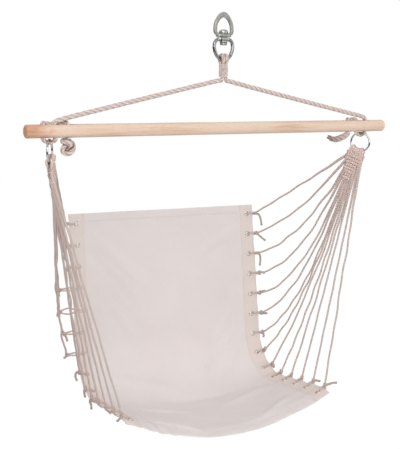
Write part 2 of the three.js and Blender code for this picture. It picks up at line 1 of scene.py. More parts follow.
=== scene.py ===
"""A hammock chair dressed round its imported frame.

Metres, +Z up. The origin is the inside top of the upper swivel eye, +X runs along
the spreader bar and the sitter faces -Y. Heights of the bar, the ropes and the seat
are counted from the bar's axis, as in the part's own source, and BAR puts them in place.
"""
import math
from contextlib import contextmanager

import bmesh
import bpy
import numpy as np
from mathutils import Matrix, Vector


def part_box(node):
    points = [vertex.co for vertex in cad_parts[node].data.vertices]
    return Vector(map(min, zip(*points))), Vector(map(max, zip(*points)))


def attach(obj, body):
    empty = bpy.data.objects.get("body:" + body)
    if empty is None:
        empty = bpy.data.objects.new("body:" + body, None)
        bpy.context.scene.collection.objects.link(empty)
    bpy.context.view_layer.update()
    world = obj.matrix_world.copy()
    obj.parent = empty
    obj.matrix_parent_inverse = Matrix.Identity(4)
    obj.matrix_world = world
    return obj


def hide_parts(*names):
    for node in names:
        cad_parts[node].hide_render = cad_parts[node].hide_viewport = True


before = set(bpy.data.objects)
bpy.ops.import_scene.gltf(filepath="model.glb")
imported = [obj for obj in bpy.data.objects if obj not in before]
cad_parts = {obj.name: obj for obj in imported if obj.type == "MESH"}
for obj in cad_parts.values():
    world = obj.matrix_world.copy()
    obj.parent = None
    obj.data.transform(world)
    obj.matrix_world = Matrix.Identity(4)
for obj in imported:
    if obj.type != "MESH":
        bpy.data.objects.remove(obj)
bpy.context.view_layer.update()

# Camera
CAMERA_PLACE = (-1.1692, -1.9129, -0.1947)
CAMERA_YAW = math.radians(30)
CAMERA_PITCH = math.radians(7.69)
CAMERA_LENS = 73.88
CAMERA_RIGHT = np.array([math.cos(CAMERA_YAW), -math.sin(CAMERA_YAW), 0.0])
TO_CAMERA = np.array([-math.sin(CAMERA_YAW), -math.cos(CAMERA_YAW), 0.0])
DOWN = np.array([0.0, 0.0, -1.0])

# Bar and ropes
BAR = np.array([0.0, 0.0, -0.262])
BAR_LENGTH = 1.0
BAR_DIAMETER = 0.03
BAR_EASE = 0.0045
HOLE_DIAMETER = 0.013
HOLE_KINDS = ("leg", "ring", "tail")
HOLE_INSETS = {
    "left": {"side": -1, "leg": 0.070, "ring": 0.041, "tail": 0.100},
    "right": {"side": 1, "leg": 0.059, "ring": 0.088, "tail": 0.115},
}
ROPE_DIAMETER = 0.0114
NECK_ROPE_DIAMETER = 0.0098
BOUND_ROPE_DIAMETER = 0.0072
BIGHT_ROPE_DIAMETER = 0.0088
SQUEEZE_LENGTH = 0.006
BIGHT_TOP = 0.012
NECK_FOOT = 0.1155
NECK_SPLAY = 0.0045
LEFT_SPLAY_GROWTH = 0.0010
ROPE_PITCH = 0.046
TAIL_RADII = [0, 0.12, 0.32, 0.6, 0.8, 1], [0.0057, 0.0066, 0.0083, 0.0084, 0.0070, 0.0046]
EYE_WIRE_HEIGHT = 0.1638
EYE_WIRE_DIAMETER = 0.009
EYE_WIRE_GAP = 0.0006
WHIPPING_TOP = 0.1542
WHIPPING_LENGTH = 0.0334
WHIPPING_RADIUS = 0.0092
TWINE_DIAMETER = 0.0034
TWINE_SWELL = 1.02
TWINE_PITCH = 0.0061

# Rope routes in millimetres from the bar's axis: first from the bar's middle, then
# inwards from its end
NECKS = {"left": [(7, -2, 115), (20, -1, 112.4)], "right": [(7, -2, 115), (20, -1, 111.4)]}
ROUTES = {
    "left": [
        (108, 0, 31), (90, 0, 26.6), (75, 0.5, 22.4), (67.3, 0.5, 18.6), (67.8, 0.3, 12), (70, 0, 2),
        (70, 0, -16), (66, 0, -21.4), (55.5, 0, -25.2), (45, 0, -21.4), (41, 0, -16), (41, 0, 11),
        (42.5, 4, 16.8), (48, 10, 16.8), (58, 13.3, 15.4), (72, 14, 15.2), (87, 12.6, 16.2), (96.5, 6, 17.4),
        (100, 0, 12), (100, 0, -10),
    ],
    "right": [
        (98, 0, 30.6), (77, 0, 26.4), (64, 0, 22), (59, 0, 16), (59, 0, -16),
        (63, 0, -21.4), (73.5, 0, -25.2), (84, 0, -21.4), (88, 0, -16), (88, 0, 11),
        (89.5, 4.5, 16.6), (94.5, 11, 16.7), (101.5, 13.8, 15.3), (108.5, 11, 16.7), (113.5, 4.5, 16.6),
        (115, 0, 11), (115, 0, -6),
    ],
}
TAIL_ROUTE = [
    (115, 0, -8), (115, 0, -15), (118, -0.5, -20.5), (127, -1.5, -25.5), (140, -2.5, -30), (153, -3, -33.5),
    (164, -3, -34), (174, -3, -31.5), (183, -3, -27),
]

# The left rope's stopper knot under its hole, in millimetres: to the camera's right,
# down, and towards the camera. It starts a little below the rope's last point.
KNOT_ROUTE = [
    (-3, 6, 1), (-6, 15, 3), (-12, 22, 4), (-12, 30, 4), (-5, 34, 4), (4, 32.5, 3), (9.5, 25.5, 0),
    (9.5, 15.5, -3), (3, 8, -6.5), (-7, 5.5, -6.5), (-13.5, 6, 0), (-9.5, 8, 7), (-1, 9, 9.5),
    (5.5, 12.5, 6), (4.5, 19, 0), (-1.5, 24, -4), (-8, 27, -3),
]
KNOT_ENTRY = 0.006

# The swivel's forgings and bolt. Half of the upper eye's arch is given as across, height and
# radius in millimetres.
CROWN_HALF = [
    (0, 7.3, 6.7), (5.0, 6.0, 6.4), (9.6, 2.6, 6.0), (13.8, -1.7, 5.6), (16.9, -6.0, 5.3),
    (19.6, -11, 5.2), (21.6, -16, 5.1), (22.7, -22.5, 5.0), (23.1, -29.7, 4.9), (22.6, -36, 4.6),
]
ARCH_FOOT = -0.030
FORGING_GRAIN = 0.0009
UPPER_BASE_THICKNESS = 0.0068

# Rings and clews
RING_DIAMETER = 0.0548
RING_WIRE = 0.0046
RING_RADIUS = (RING_DIAMETER - RING_WIRE) / 2
RING_REST_DROP = 0.0205
RING_CENTRE_DROP = RING_REST_DROP - RING_WIRE + RING_DIAMETER / 2
RING_TURNS = {"left": math.radians(33), "right": math.radians(34)}
CLEW_LEAN = math.radians(20)
CLEW_SPREAD = math.radians(42)
CLEW_COLUMNS = 7
CLEW_TOP_PITCH = 0.0059
CLEW_BOTTOM_PITCH = 0.006
CLEW_FIRST_ROW = 0.038
CLEW_ROW_PITCH = 0.012
CLEW_CORD = 0.0070
WEFT_PITCH = 0.0086
WEAVE_LIFT = 0.0026

# Cloth
CLOTH_WIDTH = 0.559
EYELET_INSET = 0.020
EYELET_PITCH = 0.0588
EYELETS = 14
END_MARGIN = 0.026
BAND_WIDTH = 0.042
HEM_WIDTH = 0.024
PANEL_THICKNESS = 0.0018
BAND_THICKNESS = 0.003
HEM_THICKNESS = BAND_THICKNESS * 0.93
BACK_TOP_DEPTH = 0.377
BACK_TOP_DROP = 0.264
BACK_LENGTH = 0.3368
BACK_LEAN = math.radians(7.5)
BEND_RADIUS = 0.1294
SEAT_RISE = math.radians(6.4)
SEAT_TURN = math.radians(-5.45)
TOP_SAG = 0.006
FRONT_SAG = 0.058
SAG_POWER = 1.8
FRONT_DROOP = 0.009
EYELET_ROW = CLOTH_WIDTH / 2 - EYELET_INSET
EYELET_RUN = EYELET_PITCH * (EYELETS - 1)
CLOTH_END = EYELET_RUN + END_MARGIN
DROOP_START = EYELET_RUN - EYELET_PITCH / 4

# Eyelets and side cords
EYELET_BORE = 0.009
EYELET_FLANGE = 0.015
CORD_DIAMETER = 0.0055
CORD_SWELL = 0.6
CORD_SWELL_LENGTH = 0.11
CORD_PITCH = 0.017
KNOT_LOBE = 0.0019
KNOT_DEPTH = 0.0023
KNOT_GAP = 0.35
KNOT_CORD = 0.0048
LOOP_LIFT = 0.0060
LOOP_SPREAD = 0.0023
LOOP_THINNING = 0.9
# By eyelet, in millimetres: how far out the knot stands, and how far the cord hangs down and left
CORDS = {
    "left": {
        "reach": [29, 29, 29, 58, 62, 54, 50, 21, 21, 21, 21, 21, 21, 22],
        "sag": [2, 22, 40, 65, 76, 72, 66, 15, 8, 2, 2, 2, 2, 2],
        "bow": [0, 0, 0, 2, 4, 6, 8, 0, 0, 0, 0, 0, 0, 0],
    },
    "right": {
        "reach": [28, 28, 30, 30, 29, 29, 29, 23, 22, 21, 21, 21, 22, 22],
        "sag": [2, 30, 47, 65, 76, 76, 78, 66, 38, 36, 12, 2, 2, 2],
        "bow": [0] * EYELETS,
    },
}
# Loops to knots beyond this reach stand open, and the knots from the upright one on sit over their eyelets
LONG_REACH = 0.04
WIDEST_LOOP = 4
FIRST_UPRIGHT = 7
KNOT_RISE = 0.0075
MM = 0.001

# Threads of the canvas, white as a linear colour, and how far apart the points of paths are
CANVAS_THREAD = 0.0011
WHITE = (1, 1, 1, 1)
STEPS = {"crown": 0.001, "knot": 0.0014, "loop": 0.0016, "tail": 0.0018, "cord": 0.002, "rope": 0.0022}


def inset_places(insets):
    """The holes of one side as distances from the bar's middle, and the middle of the ring's loop."""
    places = {key: BAR_LENGTH / 2 - insets[key] for key in HOLE_KINDS}
    return {"side": insets["side"], "middle": (places["leg"] + places["ring"]) / 2, **places}


HOLES = {name: inset_places(insets) for name, insets in HOLE_INSETS.items()}

# Free ends of the cords beyond their knots: to the camera's right and down, in millimetres
TAILS = {
    "left": [
        [(-5, 6), (-9, 16)], [(-4, 6), (-6, 15)], [(-5, 5), (-8, 12)], [(-4, 8), (-3, 17)],
        [(-6, 4), (-7, 12)], [(5, 9), (7, 20)], [(-5, 5), (-11, 9)], [(-9, 1), (-13, 12), (-10, 26)],
        [(-3, 10), (-1, 27)], [(-5, 12), (-2, 26), (-3, 38)], [(-10, 1), (-20, 3)], [(4, 9), (10, 23)],
        [(-5, 6), (-11, 13)], [(-4, 9), (-13, 20)],
    ],
    "right": [
        [(11, 4), (16, 18), (18, 36)], [(8, 6), (16, 14), (26, 22)], [(5, 6), (6, 20), (4, 37)],
        [(8, -2), (15, 1)], [(7, -5), (15, -6)], [(7, 2), (17, 1)], [(4, 7), (3, 15)], [(-4, 8), (-9, 12)],
        [(5, 7), (4, 16)], [(-7, 5), (-11, 13)], [(-4, 9), (-2, 18)], [(-5, 9), (-9, 16)],
        [(9, 1), (20, 5)], [(10, -1), (21, -3), (33, -2)],
    ],
}


# Helpers for numbers, places and colours

def srgb(red, green, blue):
    """A colour written as it looks on a screen, 0 to 255, as linear values."""
    def linear(value):
        value /= 255
        return value / 12.92 if value <= 0.04045 else ((value + 0.055) / 1.055) ** 2.4
    return (linear(red), linear(green), linear(blue), 1.0)


def unit(vector):
    return vector / np.linalg.norm(vector, axis=-1, keepdims=True)


def as_seen(right, down, near=0):
    """Millimetres to the camera's right, down and towards the camera."""
    return (CAMERA_RIGHT * right + DOWN * down + TO_CAMERA * near) * MM


def run_along(line):
    """The distance along a line to each of its points."""
    return np.concatenate([[0], np.cumsum(np.linalg.norm(np.diff(line, axis=0), axis=1))])


def even_steps(line, step):
    """The line again, with points about one step apart."""
    along = run_along(line)
    places = np.linspace(0, along[-1], max(2, math.ceil(along[-1] / step) + 1))
    return np.stack([np.interp(places, along, line[:, k]) for k in range(3)], axis=1)


def smooth_path(points, step):
    """A centripetal curve through the points, evenly stepped."""
    points = np.array(points, float)
    chain = np.vstack([2 * points[0] - points[1], points, 2 * points[-1] - points[-2]])
    pieces = []
    for before, start, end, after in zip(chain, chain[1:], chain[2:], chain[3:]):
        ago, gap, ahead = (max(np.linalg.norm(b - a) ** 0.5, 1e-6)
                           for a, b in ((before, start), (start, end), (end, after)))
        slope_in = gap * ((start - before) / ago - (end - before) / (ago + gap) + (end - start) / gap)
        slope_out = gap * ((end - start) / gap - (after - start) / (gap + ahead) + (after - end) / ahead)
        count = max(4, math.ceil(np.linalg.norm(end - start) / step) * 2)
        share = np.linspace(0, 1, count, endpoint=False)[:, None]
        square, cube = share ** 2, share ** 3
        pieces.append((2 * cube - 3 * square + 1) * start + (cube - 2 * square + share) * slope_in
                      + (3 * square - 2 * cube) * end + (cube - square) * slope_out)
    pieces.append(points[-1:])
    return even_steps(np.vstack(pieces), step)


# Mesh building

@contextmanager
def edited(mesh):
    """The mesh as a graph to change, which is written back at the end."""
    graph = bmesh.new()
    graph.from_mesh(mesh)
    yield graph
    graph.to_mesh(mesh)
    graph.free()


def linked(name, data):
    thing = bpy.data.objects.new(name, data)
    bpy.context.scene.collection.objects.link(thing)
    return thing


def finish_piece(thing, finish, body, *replaced):
    """Gives a piece its material and body, and says which solids it stands for."""
    thing.data.materials.clear()
    thing.data.materials.append(MATERIALS[finish])
    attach(thing, body)
    if replaced:
        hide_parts(*replaced)
    return thing


def matrix_of(directions, place=(0, 0, 0)):
    """The matrix that turns X, Y and Z into three directions and moves them to a place."""
    return Matrix([*np.column_stack([*directions, place]).tolist(), (0, 0, 0, 1)])


def carried_frames(path):
    """Two directions across the path at each point, carried along without twist."""
    heading = unit(np.gradient(path, axis=0))
    reference = np.array([0.0, 0.0, 1.0]) if abs(heading[0][2]) < 0.9 else np.array([1.0, 0.0, 0.0])
    normal = np.cross(heading[0], reference)
    normals = []
    for direction in heading:
        normal = unit(normal - direction * np.dot(normal, direction))
        normals.append(normal)
    normals = np.array(normals)
    return normals, np.cross(heading, normals)


def swept(path, normals, sides, reach, theta):
    """Rings of points round a path, at a reach and an angle for each."""
    return (path[:, None] + (reach * np.cos(theta))[..., None] * normals[:, None]
            + (reach * np.sin(theta))[..., None] * sides[:, None])


def quads(index):
    """The faces between the neighbours in a grid of point numbers."""
    corners = index[:-1, :-1], index[:-1, 1:], index[1:, 1:], index[1:, :-1]
    return np.stack(corners, axis=-1).reshape(-1, 4)


def grid_faces(rings, around, closed=False):
    """Quads between rings of points, and from the last ring to the first where closed."""
    index = np.arange(rings * around).reshape(rings, around)
    return quads(np.pad(index, ((0, int(closed)), (0, 1)), "wrap")).tolist()


def contact_shade(points, path, lengths, radius):
    """How closely each ring of surface points lies against another stretch of the same rope, which sets the
    painted shade there.
    """
    marks = np.zeros(points.shape[:2])
    for i, ring_points in enumerate(points):
        others = path[np.abs(lengths - lengths[i]) > 5 * radius[i]]
        if len(others):
            gap = np.linalg.norm(ring_points[:, None, :] - others[None, :, :], axis=2).min(axis=1)
            marks[i] = np.clip((1.75 * radius[i] - gap) / (0.75 * radius[i]), 0, 1)
    return marks


class Builder:
    """Collects surfaces for one mesh, with the values that its material reads."""

    def __init__(self):
        self.points, self.faces = [], []
        self.groove, self.lay, self.painted_shade = [], [], []
        self.count = 0

    def add(self, points, faces, groove=None, lay=None, painted_shade=None):
        self.faces += [tuple(int(i) + self.count for i in face) for face in faces]
        self.points.append(points)
        self.groove.append(np.zeros(len(points)) if groove is None else groove)
        self.lay.append(points if lay is None else lay)
        self.painted_shade.append(np.zeros(len(points)) if painted_shade is None else painted_shade)
        self.count += len(points)

    def laid(self, path, radius, pitch, strands=3, per_strand=3, depth=0.2, phase=0.0, fray=0.0, painted_shade=0.0):
        """A rope of laid strands: a lobed section that turns once for each pitch of length.

        Its last stretch, as long as fray, loosens and flares. The last argument is painted shade that the
        material darkens it by, and is worked out from where the rope lies against itself where it is None.
        """
        loosening, flare, dome_share, tip_groove = 0.35, 0.22, 0.35, 0.6
        count = strands * per_strand
        radius = np.broadcast_to(radius, (len(path),)).astype(float)
        lengths = run_along(path)
        angles = np.arange(count) * 2 * math.pi / count
        hollow = (1 - np.sin(math.pi * (np.arange(count) % per_strand) / per_strand)) ** 1.5
        end = np.clip((lengths - lengths[-1] + fray) / fray, 0, 1)[:, None] if fray else 0
        theta = angles + (phase + lengths * 2 * math.pi / pitch)[:, None]
        reach = radius[:, None] * (1 - (depth + loosening * end) * hollow) * (1 + flare * end)
        points = swept(path, *carried_frames(path), reach, theta)
        round_it, length_at = radius[:, None], lengths[:, None]
        lay = np.stack(np.broadcast_arrays(
            np.cos(angles) * round_it, np.sin(angles) * round_it, length_at), axis=-1)
        if painted_shade is None:
            marks = contact_shade(points, path, lengths, radius)
        else:
            marks = np.broadcast_to(np.reshape(painted_shade, (-1, 1)), theta.shape)
        last = len(path) * count
        faces = grid_faces(len(path), count)
        faces += [(last, (k + 1) % count, k) for k in range(count)]
        faces += [(last + 1, last - count + k, last - count + (k + 1) % count) for k in range(count)]
        tips = [path[0] + unit(path[0] - path[1]) * dome_share * radius[0],
                path[-1] + unit(path[-1] - path[-2]) * dome_share * radius[-1]]
        self.add(
            np.vstack([points.reshape(-1, 3), tips]), faces,
            np.concatenate([np.broadcast_to(hollow, theta.shape).ravel(), [tip_groove, tip_groove]]),
            np.vstack([lay.reshape(-1, 3), [[0, 0, 0], [0, 0, lengths[-1]]]]),
            np.concatenate([marks.ravel(), [0, 0]]),
        )

    def mesh(self, name):
        mesh = bpy.data.meshes.new(name)
        mesh.from_pydata(np.vstack(self.points).tolist(), [], self.faces)
        for word, values in (("groove", self.groove), ("painted_shade", self.painted_shade)):
            marks = mesh.attributes.new(word, "FLOAT", "POINT")
            marks.data.foreach_set("value", np.concatenate(values).astype(np.float32))
        lay = mesh.attributes.new("lay", "FLOAT_VECTOR", "POINT")
        lay.data.foreach_set("vector", np.vstack(self.lay).astype(np.float32).ravel())
        mesh.shade_smooth()
        mesh.update()
        return mesh

    def piece(self, name, finish, body, *replaced):
        return finish_piece(linked(name, self.mesh(name)), finish, body, *replaced)


def turned(name, profile, steps, matrix, finish, body, *replaced):
    """A lathe piece about its own Z, whose closed profile is a list of radius and height."""
    builder = Builder()
    angles = np.arange(steps) * 2 * math.pi / steps
    radius, height = np.array(profile).T[:, :, None]
    points = np.stack(np.broadcast_arrays(radius * np.cos(angles), radius * np.sin(angles), height), axis=-1)
    builder.add(points.reshape(-1, 3), grid_faces(len(profile), steps, profile[0][0] > 0))
    thing = builder.piece(name, finish, body, *replaced)
    with edited(thing.data) as graph:
        bmesh.ops.remove_doubles(graph, verts=graph.verts, dist=1e-7)
        bmesh.ops.recalc_face_normals(graph, faces=graph.faces)
    thing.data.shade_smooth()
    thing.matrix_world = matrix
    return thing


# The shape of the cloth

BEND_TURN = math.pi / 2 + SEAT_RISE - BACK_LEAN
BEND_LENGTH = BEND_RADIUS * BEND_TURN
SEAT_HEADING = BACK_LEAN + BEND_TURN


def profile_at(along):
    """The side view of the cloth: depth, height and heading by distance from the first eyelet."""
    straight = np.minimum(along, BACK_LENGTH)
    heading = np.clip(BACK_LEAN + (along - BACK_LENGTH) / BEND_RADIUS, BACK_LEAN, SEAT_HEADING)
    beyond = np.maximum(0, along - BACK_LENGTH - BEND_LENGTH)
    sine, cosine = math.sin(BACK_LEAN), math.cos(BACK_LEAN)
    y = (BACK_TOP_DEPTH - sine * straight + (np.cos(heading) - cosine) * BEND_RADIUS
         - np.sin(heading) * beyond)
    z = (-BACK_TOP_DROP - cosine * straight - (np.sin(heading) - sine) * BEND_RADIUS
         - np.cos(heading) * beyond)
    return y, z, heading


def cloth_point(across, along):
    """The cloth's middle layer, without creases."""
    y, z, heading = profile_at(along)
    depth = TOP_SAG + (FRONT_SAG - TOP_SAG) * along / EYELET_RUN
    sag = depth * (1 - (np.abs(across) / EYELET_ROW) ** SAG_POWER)
    drooping = np.maximum(0, along - DROOP_START) / (CLOTH_END - DROOP_START)
    y = y + np.cos(heading) * sag
    z = z - np.sin(heading) * sag - FRONT_DROOP * drooping
    cosine, sine = math.cos(SEAT_TURN), math.sin(SEAT_TURN)
    return np.stack([across * cosine - y * sine, across * sine + y * cosine, z], axis=-1) + BAR


def cloth_normal(across, along):
    """The direction out of the cloth towards the sitter."""
    nudge = 0.001
    sideways = cloth_point(across + nudge, along) - cloth_point(across - nudge, along)
    onward = cloth_point(across, along + nudge) - cloth_point(across, along - nudge)
    return unit(np.cross(onward, sideways))


def crease(across, along, start, end, width, height):
    """A soft fold in a straight line from start to end on the cloth."""
    line = np.subtract(end, start)
    length = np.linalg.norm(line)
    line = line / length
    ahead = (across - start[0]) * line[0] + (along - start[1]) * line[1]
    aside = (along - start[1]) * line[0] - (across - start[0]) * line[1]
    fade = np.sin(math.pi * np.clip(ahead / length, 0.02, 0.98)) ** 0.7 * (ahead > 0) * (ahead < length)
    return height * fade * np.exp(-(aside / width) ** 2)


# Each crease's start and end, as across and along the cloth, then its width and height
CREASES = [
    ((-0.235, 0.02), (-0.05, 0.20), 0.013, 0.0022),
    ((-0.235, 0.075), (-0.08, 0.26), 0.012, -0.0020),
    ((-0.230, 0.14), (-0.10, 0.33), 0.011, 0.0018),
    ((-0.05, 0.12), (0.12, 0.20), 0.020, 0.0012),
    ((0.235, 0.03), (0.09, 0.12), 0.012, 0.0016),
    ((0.235, 0.30), (0.08, 0.47), 0.014, 0.0024),
    ((0.235, 0.36), (0.10, 0.50), 0.011, -0.0020),
    ((0.230, 0.24), (0.12, 0.40), 0.012, 0.0016),
    ((-0.20, 0.42), (0.02, 0.47), 0.016, 0.0020),
    ((-0.10, 0.50), (0.16, 0.52), 0.018, -0.0022),
    ((-0.22, 0.56), (-0.02, 0.60), 0.014, 0.0020),
    ((0.05, 0.60), (0.22, 0.56), 0.015, 0.0020),
    ((-0.21, 0.70), (-0.06, 0.765), 0.011, 0.0026),
    ((-0.20, 0.66), (-0.08, 0.73), 0.010, -0.0020),
    ((0.10, 0.75), (0.21, 0.70), 0.012, 0.0022),
    ((0.02, 0.30), (0.05, 0.44), 0.030, 0.0010),
]
CREASE_GAIN = 2.2


def relief(across, along):
    """How far the real cloth stands off its plain shape: creases, ripples and pull at the eyelets."""
    height = CREASE_GAIN * sum(crease(across, along, *fold) for fold in CREASES)
    height = height + 0.0010 * np.sin(across * 23 + along * 9 + 0.6) * np.sin(along * 17 - across * 5)
    height = height + 0.0006 * np.sin(across * 61 - along * 31) * np.sin(along * 43 + 1.3)
    nearest = np.clip(np.round(along / EYELET_PITCH), 0, EYELETS - 1) * EYELET_PITCH
    inward = EYELET_ROW - np.abs(across)
    pull = np.exp(-np.maximum(inward, 0) / 0.05) * np.cos((along - nearest) / EYELET_PITCH * 2 * math.pi)
    height = height + 0.0011 * pull
    front = np.exp(-((along - EYELET_RUN) / 0.05) ** 2)
    corner = np.exp(-((across + 0.19) / 0.07) ** 2)
    height = height + front * (0.0015 * corner * np.sin(across * 210) + 0.0012 * np.sin(across * 47 + 1))
    top = np.exp(-((along + END_MARGIN) / 0.03) ** 2)
    return height + 0.0014 * top * np.sin(across * 26 + 0.4)


def cloth_surface(across, along, offset):
    """A point on or off the creased cloth."""
    lift = relief(across, along) + offset
    return cloth_point(across, along) + cloth_normal(across, along) * lift[..., None]


def cloth_slab(name, across_span, along_span, thickness, finish, *replaced, pitch=0.005):
    """A closed sheet of cloth with rounded edges between two spans of the cloth's surface."""
    rim = thickness / 2
    across = spaced_stops(across_span, rim, pitch)
    along = spaced_stops(along_span, rim, pitch)
    grid_across, grid_along = np.meshgrid(across, along)
    from_side = np.minimum(grid_across - across[0], across[-1] - grid_across)
    from_end = np.minimum(grid_along - along[0], along[-1] - grid_along)
    near = np.minimum(np.minimum(from_side, from_end) / rim, 1)
    half = rim * np.sqrt(np.maximum(1 - (1 - near) ** 2, 0.04))
    points = np.vstack([cloth_surface(grid_across, grid_along, sign * half).reshape(-1, 3)
                        for sign in (1, -1)])
    layer = grid_across.size
    index = np.arange(layer).reshape(grid_across.shape)
    back = quads(index) + layer
    front = quads(index)[:, [0, 3, 2, 1]]
    edge = np.concatenate([index[0, :-1], index[:-1, -1], index[-1, :0:-1], index[:0:-1, 0]])
    following = np.roll(edge, -1)
    around = np.stack([edge, following, following + layer, edge + layer], axis=1)
    faces = np.stack([front, back], axis=1).reshape(-1, 4)
    flat = np.stack([grid_across.ravel(), grid_along.ravel(), np.zeros(layer)], axis=1)
    builder = Builder()
    builder.add(points, [*faces, *around], lay=np.vstack([flat, flat]))
    return builder.piece(name, finish, "seat", *replaced)


def spaced_stops(span, rim, pitch):
    """Stops along a span, with two close ones at each end that round the edge."""
    low, high = span
    count = max(2, round((high - low - 2 * rim) / pitch))
    inside = np.linspace(low + rim, high - rim, count)
    return np.concatenate([[low, low + rim * 0.3], inside, [high - rim * 0.3, high]])


def eyelet_frame(side, index):
    """The middle of an eyelet, with the directions out of the cloth's edge, along it and to the sitter."""
    across, along = side * EYELET_ROW, index * EYELET_PITCH
    nudge = 0.004
    centre, outer, inner, ahead, behind = (
        cloth_surface(across + side * nudge * out, along + nudge * on, 0.0)
        for out, on in ((0, 0), (1, 0), (-1, 0), (0, 1), (0, -1)))
    outward = unit(outer - inner)
    onward = unit(ahead - behind)
    front = unit(np.cross(onward, outward)) * side
    return centre, outward, np.cross(front, outward), front


# The shape of the clews

def clew_frame(name):
    """The ring's centre, with the directions across the clew, through it and down it."""
    holes, turn = HOLES[name], RING_TURNS[name]
    back = np.array([-holes["side"] * math.sin(turn), math.cos(turn), 0])
    up = np.array([0, 0, 1.0])
    down = back * math.sin(CLEW_LEAN) - up * math.cos(CLEW_LEAN)
    across = back * math.cos(CLEW_LEAN) + up * math.sin(CLEW_LEAN)
    through = np.cross(down, across)
    centre = BAR + np.array([holes["side"] * holes["middle"], 0, -RING_CENTRE_DROP])
    return {"centre": centre, "across": across, "through": through, "down": down}


def clew_place(clew, a, b, c):
    return clew["centre"] + clew["across"] * a + clew["through"] * b + clew["down"] * c


def column_pitch(depth):
    share = min(max((depth - CLEW_FIRST_ROW) / (CLEW_ROW_PITCH * (CLEW_COLUMNS - 1)), 0), 1)
    return CLEW_TOP_PITCH + (CLEW_BOTTOM_PITCH - CLEW_TOP_PITCH) * share


def row_depth(row):
    return CLEW_FIRST_ROW + CLEW_ROW_PITCH * row


def column_end(column):
    """How far down a column of the clew reaches: the middle ones furthest."""
    middle = (CLEW_COLUMNS - 1) / 2
    rows = min(CLEW_COLUMNS, 2 * (middle - abs(column - middle)) + 2)
    return row_depth(rows - 1) + CLEW_ROW_PITCH / 3


def cord_start(clew, index):
    """Where a cord leaves the stepped edge of its clew."""
    middle = (CLEW_COLUMNS - 1) // 2
    from_top = index if index < CLEW_COLUMNS else EYELETS - 1 - index
    column = middle - from_top // 2
    side = 1 if index < CLEW_COLUMNS else -1
    layer = CLEW_CORD * (0.2 if from_top % 2 == 0 else -0.2)
    return clew_place(clew, side * column * column_pitch(row_depth(from_top)), layer, row_depth(from_top))


# Materials

class Graph:
    """The nodes of a material or a world, wired as they are made."""

    def __init__(self, owner):
        owner.use_nodes = True
        self.owner = owner
        self.nodes, self.links = owner.node_tree.nodes, owner.node_tree.links

    def fill(self, made, sockets):
        """Links the sockets that are given an output, and sets the others."""
        for key, value in sockets.items():
            if isinstance(value, bpy.types.NodeSocket):
                self.links.new(value, made.inputs[key])
            else:
                made.inputs[key].default_value = value

    def add(self, kind, sockets=None, **settings):
        made = self.nodes.new(f"ShaderNode{kind}")
        for key, value in settings.items():
            setattr(made, key, value)
        self.fill(made, sockets or {})
        return made

    def attribute(self, name, output="Fac"):
        return self.add("Attribute", attribute_name=name).outputs[output]

    def place(self, output="Object"):
        return self.add("TexCoord").outputs[output]

    def part(self, vector, axis):
        return self.add("SeparateXYZ", {"Vector": vector}).outputs[axis]

    def math(self, operation, *values):
        return self.add("Math", dict(enumerate(values)), operation=operation).outputs[0]

    def moved(self, vector, **values):
        return self.add("Mapping", {"Vector": vector, **values}).outputs["Vector"]

    def noise(self, vector, scale, detail, roughness=0.5, distortion=0.0):
        return self.add("TexNoise", {"Vector": vector, "Scale": scale, "Detail": detail,
                                     "Roughness": roughness, "Distortion": distortion}).outputs["Fac"]

    def spread(self, value, start, end, low, high):
        """The value's range from start to end, spread from low to high."""
        return self.add("MapRange", {"Value": value, "From Min": start, "From Max": end,
                                     "To Min": low, "To Max": high}).outputs["Result"]

    def ramp(self, factor, stops):
        """Colours by place. Three numbers are a colour on a screen, and four are linear."""
        made = self.add("ValToRGB", {"Fac": factor})
        elements = made.color_ramp.elements
        while len(elements) < len(stops):
            elements.new(0.5)
        for element, (place, colour) in zip(elements, stops):
            element.position = place
            element.color = srgb(*colour) if len(colour) == 3 else colour
        return made.outputs["Color"]

    def multiplied(self, share, colour, other):
        return self.add("Mix", {"Factor": share, "A": colour, "B": other},
                        data_type="RGBA", blend_type="MULTIPLY").outputs["Result"]

    def mixed(self, share, shader, other):
        return self.add("MixShader", {"Fac": share, 1: shader, 2: other}).outputs[0]

    def seen(self):
        """The light paths, and whether the eye looks straight or through glass at this."""
        paths = self.add("LightPath").outputs
        return paths, self.math("MAXIMUM", paths["Is Camera Ray"], paths["Is Transmission Ray"])

    def surface(self, sockets, height=None, strength=0.0, distance=0.0):
        """Fills the material's shader, with a bump where a height is given."""
        shader = self.nodes["Principled BSDF"]
        self.fill(shader, sockets)
        if height is not None:
            bump = self.add("Bump", {"Height": height, "Strength": strength, "Distance": distance})
            self.fill(shader, {"Normal": bump.outputs["Normal"]})
        return self.owner


def new_material(name):
    return Graph(bpy.data.materials.new(name))


def cloth_finish(colour, gloss, sheen_roughness):
    return {"Base Color": colour, "Roughness": 0.95, "Specular IOR Level": gloss, "Sheen Weight": gloss,
            "Sheen Roughness": sheen_roughness}


def cotton(name, light, dark, yarn_scale, groove_shade):
    """Laid cotton: painted shade in the grooves between strands, with fine yarns along them, and more
    painted shade where the mesh marks it.
    """
    graph = new_material(name)
    lay = graph.attribute("lay", "Vector")
    yarn = graph.noise(graph.moved(lay, Scale=(1, 1, 0.16)), yarn_scale, 3.0, 0.6)
    # Painted shade in the grooves between strands and on the domed ends
    groove_darkening = graph.math("MULTIPLY", graph.attribute("groove"), groove_shade)
    shade = graph.math("MULTIPLY_ADD", yarn, 0.55, groove_darkening)
    tone = graph.math("MULTIPLY_ADD", graph.noise(lay, 55.0, 2.0), 0.35, shade)
    colours = graph.ramp(tone, [(0.2, light), (1.15, dark)])
    # Painted shade: a darker colour where the mesh marks shade from other rope, the ring, knots and free
    # ends
    shaded = graph.multiplied(graph.attribute("painted_shade"), colours, srgb(138, 116, 108))
    return graph.surface(cloth_finish(shaded, 0.15, 0.6), yarn, 0.5, 0.0006)


